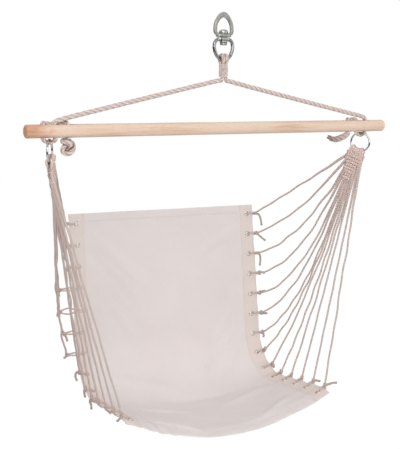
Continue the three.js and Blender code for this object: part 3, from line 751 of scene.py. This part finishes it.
def woven(name, light, dark):
    """Plain-weave canvas: two crossing sets of threads, with slubs and faint soiling."""
    graph = new_material(name)
    lay = graph.attribute("lay", "Vector")
    turns = math.pi / CANVAS_THREAD
    threads = [graph.math("SINE", graph.math("MULTIPLY", graph.part(lay, axis), turns)) for axis in "XY"]
    weave = graph.math("MULTIPLY", *threads)
    slub = graph.noise(graph.moved(lay, Scale=(1, 9, 1)), 95.0, 4.0, 0.65)
    tone = graph.math("MULTIPLY_ADD", weave, 0.18, slub)
    total = graph.math("MULTIPLY_ADD", graph.noise(lay, 7.0, 3.0), 0.7, tone)
    colours = graph.ramp(total, [(0.45, dark), (1.25, light)])
    height = graph.math("MULTIPLY_ADD", slub, 0.8, weave)
    return graph.surface(cloth_finish(colours, 0.12, 0.7), height, 0.35, 0.00025)


def beech():
    """Sanded beech: long fine grain and short flecks, with a warmer stain towards the left end."""
    graph = new_material("beech")
    place = graph.place()
    grain = graph.noise(graph.moved(place, Scale=(1.4, 26, 26)), 6.0, 6.0, 0.6, 0.4)
    fleck = graph.noise(graph.moved(place, Scale=(18, 190, 190)), 4.0, 2.0)
    broad = graph.noise(graph.moved(place, Scale=(5, 9, 9)), 1.1, 1.0)
    stain = graph.noise(graph.moved(place, Scale=(30, 55, 55)), 1.3, 3.0)
    tone = graph.math("SUBTRACT", graph.math("MULTIPLY_ADD", broad, 0.55, grain), 0.27)
    colours = graph.ramp(tone, [(0.30, (229, 206, 188)), (0.52, (225, 198, 177)), (0.68, (213, 182, 156)),
                                (0.85, (198, 162, 134))])
    spots = graph.ramp(fleck, [(0.60, WHITE), (0.72, (226, 208, 194))])
    near_end = graph.spread(graph.part(place, "X"), -0.405, -0.492, -0.35, 0.35)
    warm = graph.ramp(graph.math("ADD", stain, near_end),
                      [(0.35, WHITE), (0.62, (244, 226, 214)), (0.86, (231, 203, 184))])
    colour = graph.multiplied(1.0, graph.multiplied(0.55, colours, spots), warm)
    finish = {"Base Color": colour, "Roughness": 0.55, "Specular IOR Level": 0.35}
    return graph.surface(finish, grain, 0.25, 0.0004)


def end_grain():
    """The sawn end of the bar: rings round the pith, darker than the side."""
    graph = new_material("beech_end_grain")
    rings = graph.add("TexWave", {"Vector": graph.moved(graph.place(), Location=(0, 0.006, 0.256)),
                                  "Scale": 130.0, "Distortion": 2.5, "Detail": 2.0},
                      wave_type="RINGS", rings_direction="X")
    colours = graph.ramp(rings.outputs["Fac"], [(0.1, (206, 162, 132)), (0.9, (180, 133, 104))])
    return graph.surface({"Base Color": colours, "Roughness": 0.8})


def steel(name, light, dark, roughness, metallic, grain=240.0, bump=0.00025):
    """Coated steel: a mottled skin whose gloss varies a little."""
    graph = new_material(name)
    place = graph.place()
    mottle = graph.noise(place, grain, 5.0, 0.6)
    tone = graph.math("MULTIPLY_ADD", graph.noise(place, grain / 6, 2.0), 0.6, mottle)
    colours = graph.ramp(tone, [(0.5, dark), (1.1, light)])
    gloss = graph.spread(mottle, 0.0, 1.0, roughness * 0.8, roughness * 1.25)
    finish = {"Base Color": colours, "Roughness": gloss, "Metallic": metallic}
    return graph.surface(finish, mottle, 0.3, bump)


MATERIALS = {
    "rope": cotton("cotton_rope", (233, 217, 211), (178, 155, 147), 700.0, 0.6),
    "cord": cotton("cotton_cord", (236, 220, 213), (186, 164, 156), 1300.0, 0.6),
    "clew": cotton("cotton_clew", (244, 224, 215), (204, 177, 167), 1100.0, 0.35),
    "twine": cotton("cotton_twine", (250, 237, 230), (226, 207, 198), 1500.0, 0.3),
    "canvas": woven("canvas", (229, 221, 219), (220, 211, 209)),
    "band": woven("canvas_edge", (228, 215, 210), (219, 205, 199)),
    "thread": cotton("sewing_thread", (228, 219, 214), (204, 191, 184), 3000.0, 0.4),
    "beech": beech(),
    "beech_end": end_grain(),
    "galvanised": steel("galvanised_steel", (183, 181, 176), (136, 134, 129), 0.45, 0.8),
    "wear_and_shade": steel("worn_steel", (178, 180, 178), (108, 111, 110), 0.22, 1.0),
    "bolt": steel("bolt_steel", (208, 208, 205), (152, 153, 151), 0.34, 0.9),
    "chrome": steel("chromed_steel", (212, 211, 209), (176, 174, 172), 0.08, 1.0, 90.0, 0.00005),
    "eyelet": steel("eyelet_steel", (236, 228, 220), (200, 188, 178), 0.26, 0.9, 400.0, 0.0001),
}


# Ropes

def neck_points(side):
    """Up behind the lower eye's wire, over it, and down through the whipping."""
    bound = BOUND_ROPE_DIAMETER / 2 + 0.0002
    wrap = EYE_WIRE_DIAMETER / 2 + EYE_WIRE_GAP + NECK_ROPE_DIAMETER / 2
    bottom, inside_top = WHIPPING_TOP - WHIPPING_LENGTH, WHIPPING_TOP - 0.006
    points = [(bound, bound, bottom + 0.004), (bound, bound, inside_top)]
    for share in np.linspace(0, 1, 9):
        angle = share * math.pi
        wide = NECK_SPLAY + (LEFT_SPLAY_GROWTH * share if side < 0 else 0)
        points.append((wide, wrap * math.cos(angle), EYE_WIRE_HEIGHT + wrap * math.sin(angle)))
    points += [(bound, -bound, inside_top), (bound, -bound, bottom + 0.008)]
    return [(side * x, y, z) for x, y, z in points]


def rope_radius(path, middle):
    """The rope is squeezed in the whipping, over the eye's wire and where the ring hangs."""
    height = path[:, 2]
    rises = (height - WHIPPING_TOP, height - NECK_FOOT, -BIGHT_TOP - height)
    over_wire, in_neck, below = (np.clip(rise / SQUEEZE_LENGTH, 0, 1) for rise in rises)
    neck = BOUND_ROPE_DIAMETER + (NECK_ROPE_DIAMETER - BOUND_ROPE_DIAMETER) * over_wire
    bight = below * np.exp(-((np.abs(path[:, 0]) - middle) / 0.012) ** 4)
    free = ROPE_DIAMETER + (BIGHT_ROPE_DIAMETER - ROPE_DIAMETER) * bight
    return (free + (neck - free) * in_neck) / 2


def from_bar_end(route, side):
    """A route that counts inwards from a bar end, as places in metres from the bar's middle."""
    return [(side * (BAR_LENGTH / 2 - inset * MM), y * MM, z * MM) for inset, y, z in route]


def rope(name):
    """One rope from the swivel through its three holes, and the left one's stopper knot."""
    side, middle = HOLES[name]["side"], HOLES[name]["middle"]
    route = [(side * x * MM, y * MM, z * MM) for x, y, z in NECKS[name]]
    route += from_bar_end(ROUTES[name], side)
    if name == "left":
        entry = np.array(route[-1]) + DOWN * KNOT_ENTRY
        route += [entry + as_seen(*point) for point in KNOT_ROUTE]
    path = smooth_path(neck_points(side) + route, STEPS["rope"])
    builder = Builder()
    radius = rope_radius(path, middle)
    # Painted shade where the rope lies against itself, as in the stopper knot
    builder.laid(path + BAR, radius, ROPE_PITCH, per_strand=8, phase=side * 0.7, painted_shade=None)
    # Painted shade on the rope's bight where the ring hangs in it
    across, _, height = (builder.points[0] - BAR).T
    wear_and_shade = np.exp(-((np.abs(across) - middle) / 0.008) ** 2) * np.clip((height + 0.0262) / 0.004, 0, 1)
    builder.painted_shade[0] = np.maximum(builder.painted_shade[0], wear_and_shade * (height < -BIGHT_TOP))
    builder.piece(f"rope_{name}_laid", "rope", "hanger", f"rope_{name}")


def rope_tail():
    """The right rope's free end, which turns under the bar and ends in a splayed cut."""
    path = smooth_path(from_bar_end(TAIL_ROUTE, 1), STEPS["tail"]) + BAR
    share = np.linspace(0, 1, len(path))
    builder = Builder()
    # Painted shade that deepens towards the frayed end
    builder.laid(path, np.interp(share, *TAIL_RADII), ROPE_PITCH, per_strand=8, fray=0.016,
                 painted_shade=0.75 * share ** 1.5)
    tail = builder.piece("rope_tail_right", "rope", "hanger", "rope_right")


def whipping():
    """Twine wound tightly round both ropes."""
    turns = WHIPPING_LENGTH / TWINE_DIAMETER
    share = np.linspace(0, 1, int(turns * 28))
    angle = share * turns * 2 * math.pi
    bulge = WHIPPING_RADIUS + 0.0004 * np.sin(share * math.pi) + 0.0002 * np.sin(angle * 0.37)
    height = WHIPPING_TOP - TWINE_DIAMETER / 2 - share * (WHIPPING_LENGTH - TWINE_DIAMETER)
    path = np.stack([bulge * np.cos(angle), bulge * np.sin(angle), height], axis=1) + BAR
    builder = Builder()
    builder.laid(path, TWINE_DIAMETER / 2 * TWINE_SWELL, TWINE_PITCH, strands=2, per_strand=4, depth=0.04)
    builder.piece("neck_whipping_twine", "twine", "hanger", "neck_whipping")


# Bar

def spreader_bar():
    """A turned dowel with eased ends and drilled rope holes."""
    half, radius, ease = BAR_LENGTH / 2, BAR_DIAMETER / 2, BAR_EASE
    profile = [(0.0, -half)]
    for angle in np.linspace(0, math.pi / 2, 5):
        profile.append((radius - ease + ease * math.sin(angle), -half + ease - ease * math.cos(angle)))
    lengths = np.linspace(-half + 0.02, half - 0.02, 49)
    profile += [(radius + 0.00008 * math.sin(x * 31), x) for x in lengths]
    profile += [(r, -x) for r, x in reversed(profile[:6])]
    matrix = Matrix.Translation(BAR.tolist()) @ Matrix.Rotation(math.pi / 2, 4, "Y")
    bar = turned("spreader_bar_dowel", profile, 72, matrix, "beech", "hanger", "spreader_bar")
    bar.data.transform(matrix)
    bar.matrix_world = Matrix.Identity(4)
    drills = bmesh.new()
    for holes in HOLES.values():
        for key in HOLE_KINDS:
            place = Matrix.Translation((holes["side"] * holes[key], 0, BAR[2]))
            add_rod(drills, HOLE_DIAMETER, BAR_DIAMETER * 2, 40, place)
    cut_with(bar, drills)
    bar.data.materials.append(MATERIALS["beech_end"])
    for face in bar.data.polygons:
        at_end = abs(face.normal.x) > 0.9
        face.use_smooth = not at_end
        face.material_index = 1 if at_end else 0


def add_rod(rods, diameter, length, steps, matrix):
    bmesh.ops.create_cone(rods, cap_ends=True, segments=steps, radius1=diameter / 2, radius2=diameter / 2,
                          depth=length, matrix=matrix)


def cut_with(thing, rods):
    """Cuts the rods out of a piece and leaves no modifier on it."""
    mesh = bpy.data.meshes.new("rods")
    rods.to_mesh(mesh)
    rods.free()
    cutter = linked("rods", mesh)
    modifier = thing.modifiers.new("drilled", "BOOLEAN")
    modifier.operation = "DIFFERENCE"
    modifier.solver = "EXACT"
    modifier.object = cutter
    apply_modifiers(thing)
    bpy.data.objects.remove(cutter)
    bpy.data.meshes.remove(mesh)


def apply_modifiers(thing):
    graph = bpy.context.evaluated_depsgraph_get()
    graph.update()
    result = bpy.data.meshes.new_from_object(thing.evaluated_get(graph))
    old = thing.data
    thing.modifiers.clear()
    thing.data = result
    bpy.data.meshes.remove(old)


# Swivel

def crown():
    """The arch of the upper eye: a round wire that thickens to its top, where its hook has worn it."""
    bend = [(-x, z) for x, z, _ in reversed(CROWN_HALF[1:])] + [(x, z) for x, z, _ in CROWN_HALF]
    path = smooth_path([(x * MM, 0, z * MM) for x, z in bend], STEPS["crown"])
    radius = np.interp(-path[:, 2], [-z * MM for _, z, _ in CROWN_HALF], [r * MM for _, _, r in CROWN_HALF])
    builder = Builder()
    builder.laid(path, radius, 1.0, per_strand=8, depth=0.0)
    builder.points[0][:, 1] *= 0.85
    return builder.mesh("crown")


def forged(source, passes, finish, body, arch=None):
    """A forging: the frame's own solid with its edges rounded over, and any arch in its top's place."""
    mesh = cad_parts[source].data.copy()
    if arch:
        with edited(mesh) as graph:
            bmesh.ops.remove_doubles(graph, verts=graph.verts, dist=1e-6)
            bmesh.ops.bisect_plane(graph, geom=[*graph.verts, *graph.edges, *graph.faces],
                                   plane_co=(0, 0, ARCH_FOOT), plane_no=(0, 0, 1), clear_outer=True)
            bmesh.ops.holes_fill(graph, edges=[edge for edge in graph.edges if edge.is_boundary])
            graph.from_mesh(arch)
        bpy.data.meshes.remove(arch)
    thing = linked(f"{source}_forged", mesh)
    remesh = thing.modifiers.new("skin", "REMESH")
    remesh.mode = "VOXEL"
    remesh.voxel_size = FORGING_GRAIN
    smooth = thing.modifiers.new("ease", "SMOOTH")
    smooth.factor = 0.5
    smooth.iterations = passes
    apply_modifiers(thing)
    thing.data.shade_smooth()
    finish_piece(thing, finish, body, source)


def swivel():
    """Two forged eyes on a domed and riveted bolt, with their washers."""
    forged("upper_eye", 10, "galvanised", "hang_eye", crown())
    forged("lower_eye", 9, "wear_and_shade", "swivel")
    low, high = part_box("swivel_bolt")
    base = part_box("upper_eye")[0].z + UPPER_BASE_THICKNESS
    head, shank, foot, rim = 0.011, 0.0045, 0.0085, 0.0052
    foot_top = low.z + 0.006
    profile = [(0.0, low.z), (foot * 0.82, low.z), (foot * 0.96, low.z + 0.0010), (foot, low.z + 0.0026),
               (foot, foot_top), (shank, foot_top), (shank, base), (head - 0.0006, base),
               (head, base + 0.0006), (head, base + rim)]
    dome = high.z - base - rim
    for angle in np.linspace(0, math.pi / 2, 9)[1:8]:
        profile.append((head * math.cos(angle), base + rim + dome * math.sin(angle)))
    profile.append((0.0, high.z))
    turned("swivel_bolt_turned", profile, 48, Matrix.Identity(4), "bolt", "swivel", "swivel_bolt")
    for source, bore, outer, finish in (
        ("thrust_washer", 0.0049, 0.0085, "galvanised"),
        ("rivet_washer", 0.0048, 0.0095, "bolt"),
    ):
        bottom, top = (corner.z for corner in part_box(source))
        ease = min(0.0005, (top - bottom) / 3)
        section = [(bore, bottom), (outer - ease, bottom), (outer, bottom + ease), (outer, top - ease),
                   (outer - ease, top), (bore, top)]
        turned(f"{source}_turned", section, 48, Matrix.Identity(4), finish, "swivel", source)


# Rings and clews

def ring(name):
    """A bent wire, with a faint bead where its ends are welded."""
    place = clew_frame(name)
    around, steps, weld = 20, 96, 4.4
    angle = np.arange(steps)[:, None] / steps * 2 * math.pi
    outward = place["across"] * np.sin(angle) + place["down"] * np.cos(angle)
    through = np.broadcast_to(place["through"], outward.shape)
    reach = RING_WIRE / 2 * (1 + 0.05 * np.exp(-((angle - weld) / 0.03) ** 2))
    turn = np.arange(around) / around * 2 * math.pi
    points = swept(place["centre"] + outward * RING_RADIUS, outward, through, reach, turn)
    builder = Builder()
    builder.add(points.reshape(-1, 3), grid_faces(steps, around, True))
    thing = builder.piece(f"ring_{name}_chromed", "chrome", "seat", f"ring_{name}")
    with edited(thing.data) as graph:
        bmesh.ops.recalc_face_normals(graph, faces=graph.faces)


def clew(name):
    """Warps that loop round the ring, and wefts woven over and under them."""
    place = clew_frame(name)
    builder = Builder()
    middle = (CLEW_COLUMNS - 1) / 2
    rows = np.arange(CLEW_FIRST_ROW - 0.0055, column_end(middle), WEFT_PITCH)
    wrap = RING_WIRE / 2 + CLEW_CORD / 2 + 0.0002

    def lay(points, phase):
        path = smooth_path([clew_place(place, *point) for point in points], STEPS["loop"])
        builder.laid(path, CLEW_CORD / 2, CORD_PITCH, per_strand=4, depth=0.04, phase=phase)

    for column in range(CLEW_COLUMNS):
        aside, end = middle - column, column_end(column)
        angle = -aside / middle * (CLEW_SPREAD - math.radians(3))

        def on_column(down, lift, aside=aside):
            return aside * column_pitch(down), lift, down

        points = [on_column(rows[1], -0.0012), on_column(rows[0], -0.003)]
        for lean in np.radians((-100, -60, -20, 20, 60, 100)):
            reach = RING_RADIUS - wrap * math.cos(lean)
            points.append((-reach * math.sin(angle), wrap * math.sin(lean), reach * math.cos(angle)))
        points += [on_column(down, WEAVE_LIFT * over(column, k))
                   for k, down in enumerate(rows) if down < end]
        lay([*points, on_column(end + 0.002, 0)], column)
    for k, down in enumerate(rows):
        alive = [column for column in range(CLEW_COLUMNS) if column_end(column) >= down]
        if len(alive) < 2:
            continue
        pitch = column_pitch(down)
        edge = (middle - alive[0]) * pitch + CLEW_CORD * 0.75
        points = [(edge * 0.93, 0.001, down + 0.004), (edge, 0, down + 0.0012)]
        points += [((middle - column) * pitch, -1.15 * WEAVE_LIFT * over(column, k), down)
                   for column in alive]
        points += [(-edge, 0, down + 0.0012), (-edge * 0.93, -0.001, down + 0.004)]
        lay(points, k)
    # Painted shade on the cords where they lie deep in the clew, near its middle between the front and back
    # faces
    for points, marks in zip(builder.points, builder.painted_shade):
        height = np.abs((points - place["centre"]) @ place["through"])
        marks[:] = 0.75 * np.clip((0.0042 - height) / 0.003, 0, 1)
    builder.piece(f"clew_{name}", "clew", "seat", f"cord_net_{name}")


def over(column, row):
    """Whether a warp lies in front of a weft, as 1, or behind it, as -1."""
    return 1 if column % 2 == row % 2 else -1


# Side cords

def sagging(start, end, sag, seed, kink, bow):
    """A cord that hangs between two points, with the small kinks of a soft cord."""
    rng = np.random.default_rng(seed)
    length = np.linalg.norm(end - start)
    share = np.linspace(0, 1, max(12, int(length / 0.006)))[:, None]
    path = start + (end - start) * share + DOWN * sag * 4 * share * (1 - share)
    path = path - CAMERA_RIGHT * bow * np.sin(math.pi * share)
    heading = unit(end - start)
    aside = unit(np.cross(heading, DOWN))
    upward = np.cross(aside, heading)
    envelope = np.sin(math.pi * share) ** 0.5
    for direction in (aside, upward):
        wave = sum(rng.normal() * np.sin(2 * math.pi * (share * length / reach + rng.random()))
                   for reach in (0.21, 0.13, 0.08))
        path = path + direction * wave * envelope * kink
    return path


def side_cord(name, index):
    """One cord with its knot beside the band, its loop through the eyelet and its free end."""
    side = HOLES[name]["side"]
    centre, outward, onward, front = eyelet_frame(side, index)
    reach, sag, bow = (CORDS[name][key][index] * MM for key in ("reach", "sag", "bow"))
    seed = index + (100 if side > 0 else 0)
    slack = sag > CORD_DIAMETER
    start = cord_start(clew_frame(name), index)
    upright = index >= FIRST_UPRIGHT
    pull = unit(start - centre)
    axis = pull if upright else outward
    knot = centre + outward * reach + (pull * KNOT_RISE if upright else 0)
    piece_name = f"cord_{name}_{index + 1:02d}"

    kink = 0.0006 if slack else 0.0004
    cord = smooth_path(sagging(start, knot, sag, seed, kink, bow), STEPS["cord"])
    along = np.linspace(0, np.linalg.norm(knot - cord[0]), len(cord))
    radius = CORD_DIAMETER / 2 * (1 + CORD_SWELL * np.exp(-(along / CORD_SWELL_LENGTH) ** 2))
    builder = Builder()
    builder.laid(cord, radius, CORD_PITCH, phase=seed)
    hung = builder.piece(piece_name, "cord", "seat", f"cord_net_{name}")

    def spot(out, up, shift=0.0):
        return centre + outward * out + front * up + onward * shift

    builder = Builder()
    lift, wide, inside = LOOP_LIFT, LOOP_SPREAD, CORD_DIAMETER / 2
    edge = EYELET_INSET - inside
    near = min(edge + 0.003, reach - 0.006)
    half = [(reach, 0.001, wide * 0.5), (reach - 0.004, 0.0015, wide), (near, 0.003, wide),
            (edge - 0.003, lift * 0.92, wide * 0.8), (edge * 0.5, lift, wide * 0.4),
            (inside, lift * 0.72, 0)]
    if reach > LONG_REACH:
        far = reach - 0.012
        open_wide = 0.0075 if index == WIDEST_LOOP else 0.0035
        half[1:3] = [(far, 0.002, open_wide * 0.7), ((far + edge) / 2, lift * 0.5, open_wide)]
    there = [spot(*point) for point in half]
    back = [spot(out, -up, -shift) for out, up, shift in reversed(half)]
    if upright:
        there = [knot + onward * wide * 0.5, (knot + spot(0, lift)) / 2 + onward * wide * 0.6, there[-1]]
        beside = spot(EYELET_INSET + CORD_DIAMETER * 0.75, -0.0005, -wide)
        back = [*back[:3], beside, knot - onward * wide * 0.5]
    loop = smooth_path([*there, centre, *back], STEPS["loop"])
    builder.laid(loop, CORD_DIAMETER / 2 * LOOP_THINNING, CORD_PITCH, phase=seed)

    roll = np.random.default_rng(seed + 7).random() * math.pi
    turn_a = onward * math.cos(roll) + front * math.sin(roll)
    turn_b = unit(np.cross(axis, turn_a))
    angle = np.linspace(KNOT_GAP, 2 * math.pi - KNOT_GAP, 34)[:, None]
    trefoil = ((np.sin(angle) + 2 * np.sin(2 * angle)) * turn_a
               + (np.cos(angle) - 2 * np.cos(2 * angle)) * axis)
    knotted = knot + KNOT_LOBE * trefoil - KNOT_DEPTH * np.sin(3 * angle) * turn_b
    knotted = even_steps(knotted, STEPS["knot"])
    # Painted shade over the whole knot
    builder.laid(knotted, KNOT_CORD / 2, CORD_PITCH, phase=seed, depth=0.16, painted_shade=0.15)

    end = [(0, 0), *TAILS[name][index]]
    path = smooth_path([knot + as_seen(x, y) + front * 0.002 * k for k, (x, y) in enumerate(end)],
                       STEPS["knot"])
    thin = np.linspace(1.25, 1.05, len(path))
    # Painted shade over the whole free end
    builder.laid(path, CORD_DIAMETER / 2 * thin, CORD_PITCH, phase=seed, fray=0.006, painted_shade=0.3)
    tied = builder.piece(f"{piece_name}_knot", "cord", "seat", f"cord_net_{name}")


# Seat

def eyelet(name, index):
    """A flange rolled over on both faces of the band."""
    centre, *directions = eyelet_frame(HOLES[name]["side"], index)
    bore, flange = EYELET_BORE / 2, EYELET_FLANGE / 2
    middle, reach = (bore + flange) / 2, (flange - bore) / 2
    face = BAND_THICKNESS / 2 + 0.0002
    lip = [(middle - reach * math.cos(angle), face + 0.0013 * math.sin(angle))
           for angle in np.linspace(0, math.pi, 7)]
    profile = lip + [(radius, -height) for radius, height in reversed(lip)]
    profile += [(bore + 0.0004, -face * 0.4), (bore + 0.0004, face * 0.4)]
    source = f"eyelet_{name}_{index + 1:02d}"
    turned(f"{source}_rolled", profile, 32, matrix_of(directions, centre), "eyelet", "seat", source)


def side_band(name):
    """The doubled, sewn edge of the cloth, punched for its eyelets."""
    side = HOLES[name]["side"]
    span = sorted((side * CLOTH_WIDTH / 2, side * (CLOTH_WIDTH / 2 - BAND_WIDTH)))
    band = cloth_slab(f"side_band_{name}_sewn", span, (-END_MARGIN, CLOTH_END), BAND_THICKNESS,
                      "band", f"side_band_{name}", pitch=0.0045)
    punches = bmesh.new()
    for index in range(EYELETS):
        centre, *directions = eyelet_frame(side, index)
        add_rod(punches, EYELET_BORE + 0.0018, 0.02, 24, matrix_of(directions, centre))
    cut_with(band, punches)
    return band


def stitches(name, seams):
    """Rows of lock stitches, each a short thread that dips into the cloth at both ends."""
    builder = Builder()
    length, pitch, thick, around = 0.0030, 0.0042, 0.00042, 5
    dip = thick * np.array([-1.2, 0.25, 0.6, 0.25, -1.2])
    faces = grid_faces(len(dip), around) + [(4, 3, 2, 1, 0), (20, 21, 22, 23, 24)]
    turn = np.arange(around) * 2 * math.pi / around
    for start, end, offset in seams:
        start, run = np.array(start), np.array(end) - np.array(start)
        total = np.linalg.norm(run)
        for sign in (1, -1):
            for k in range(int(total / pitch)):
                share = np.linspace(0, 1, len(dip)) * length / total + (k + 0.15) * pitch / total
                places = start + run * share[:, None]
                path = cloth_surface(places[:, 0], places[:, 1], sign * (offset + dip))
                points = swept(path, *carried_frames(path), thick, turn[None, :])
                builder.add(points.reshape(-1, 3), faces)
    return builder.piece(name, "thread", "seat")


def seat():
    """The cloth with its hems, its bands, their stitches and their eyelets."""
    inner = CLOTH_WIDTH / 2 - BAND_WIDTH
    top_end, front_start = -END_MARGIN + HEM_WIDTH, CLOTH_END - HEM_WIDTH
    tuck, bite, inset = 0.003, 0.0035, 0.004
    panel = cloth_slab("seat_canvas_panel", (-inner - tuck, inner + tuck),
                       (top_end - tuck, front_start + tuck), PANEL_THICKNESS, "canvas", "seat_canvas")
    hems = [cloth_slab(f"{name}_sewn", (-inner, inner), span, HEM_THICKNESS, "canvas", name, pitch=0.004)
            for name, span in (("top_hem", (-END_MARGIN, top_end)), ("front_hem", (front_start, CLOTH_END)))]
    bands = [side_band("left"), side_band("right")]
    seams = []
    for side in (-1, 1):
        for across in (side * (inner + bite), side * (CLOTH_WIDTH / 2 - bite)):
            seams.append(((across, -END_MARGIN + inset), (across, CLOTH_END - inset), BAND_THICKNESS / 2))
    for along in (top_end - bite, front_start + bite):
        seams.append(((-inner + inset, along), (inner - inset, along), HEM_THICKNESS / 2))
    thread = stitches("seam_stitches", seams)
    for name in HOLES:
        for index in range(EYELETS):
            eyelet(name, index)


# Stage, lights and camera

def stage():
    """A pale floor that looks white, and that polished metal sees fade to dark far off."""
    size, height = 14.0, -1.62
    mesh = bpy.data.meshes.new("floor")
    corners = [(-size, -size, height), (size, -size, height), (size, size, height), (-size, size, height)]
    mesh.from_pydata(corners, [], [(0, 1, 2, 3)])
    floor = linked("floor", mesh)
    graph = new_material("pale_floor")
    graph.surface({"Base Color": (0.72, 0.72, 0.72, 1), "Roughness": 1.0})
    paths, seen = graph.seen()
    share = graph.math("MULTIPLY", graph.math("MAXIMUM", seen, paths["Is Glossy Ray"]), 0.86)
    reach = graph.add("VectorMath", {0: graph.place()}, operation="LENGTH").outputs["Value"]
    near = graph.spread(reach, 2.2, 4.2, 1.0, 0.02)
    glow = graph.math("MULTIPLY", graph.math("MAXIMUM", seen, near), 1.1)
    white = graph.add("Emission", {"Strength": glow}).outputs[0]
    plain = graph.nodes["Principled BSDF"].outputs[0]
    graph.fill(graph.nodes["Material Output"], {"Surface": graph.mixed(share, plain, white)})
    floor.data.materials.append(graph.owner)


def lights():
    """A soft even room, which is white to the eye and has dark and light cards for polished metal."""
    world = bpy.data.worlds.new("studio")
    bpy.context.scene.world = world
    graph = Graph(world)
    graph.fill(graph.nodes["Background"], {"Color": WHITE, "Strength": 0.56})
    paths, seen = graph.seen()
    place = graph.place("Generated")
    height = graph.math("MULTIPLY_ADD", graph.part(place, "Z"), 0.3, graph.noise(place, 3.4, 0.0))
    cards = graph.ramp(height, [(0.55, (0.015, 0.015, 0.015, 1)), (0.62, WHITE)])
    white, room = (graph.add("Background", {"Color": colour, "Strength": 1.0}).outputs[0]
                   for colour in (WHITE, cards))
    mirrored = graph.mixed(paths["Is Glossy Ray"], graph.nodes["Background"].outputs[0], room)
    graph.fill(graph.nodes["World Output"], {"Surface": graph.mixed(seen, mirrored, white)})
    target = np.array([0.0, 0.1, -0.6])
    for name, place, size, power in (
        ("key", (-1.9, -2.8, 0.7), 2.4, 62),
        ("fill", (2.2, -2.2, 0.0), 2.4, 22),
        ("top", (0.2, 0.4, 2.0), 2.0, 9),
    ):
        lamp = bpy.data.lights.new(name, "AREA")
        lamp.energy = power
        lamp.size = size
        holder = linked(name, lamp)
        holder.location = place
        back = unit(np.array(place) - target)
        right = unit(np.cross([0, 0, 1.0] if abs(back[2]) < 0.95 else [0, 1.0, 0], back))
        holder.rotation_euler = matrix_of((right, np.cross(back, right), back)).to_euler()


def camera():
    data = bpy.data.cameras.new("camera")
    data.lens = CAMERA_LENS
    data.sensor_width = 36
    data.clip_start = 0.05
    holder = linked("camera", data)
    holder.location = CAMERA_PLACE
    holder.rotation_euler = (math.pi / 2 - CAMERA_PITCH, 0, -CAMERA_YAW)
    bpy.context.scene.camera = holder


camera()
for word in HOLES:
    rope(word)
rope_tail()
whipping()
for word in HOLES:
    clew(word)
    for number in range(EYELETS):
        side_cord(word, number)
    ring(word)
spreader_bar()
swivel()
seat()
stage()
lights()
bpy.context.scene.view_settings.view_transform = "Standard"
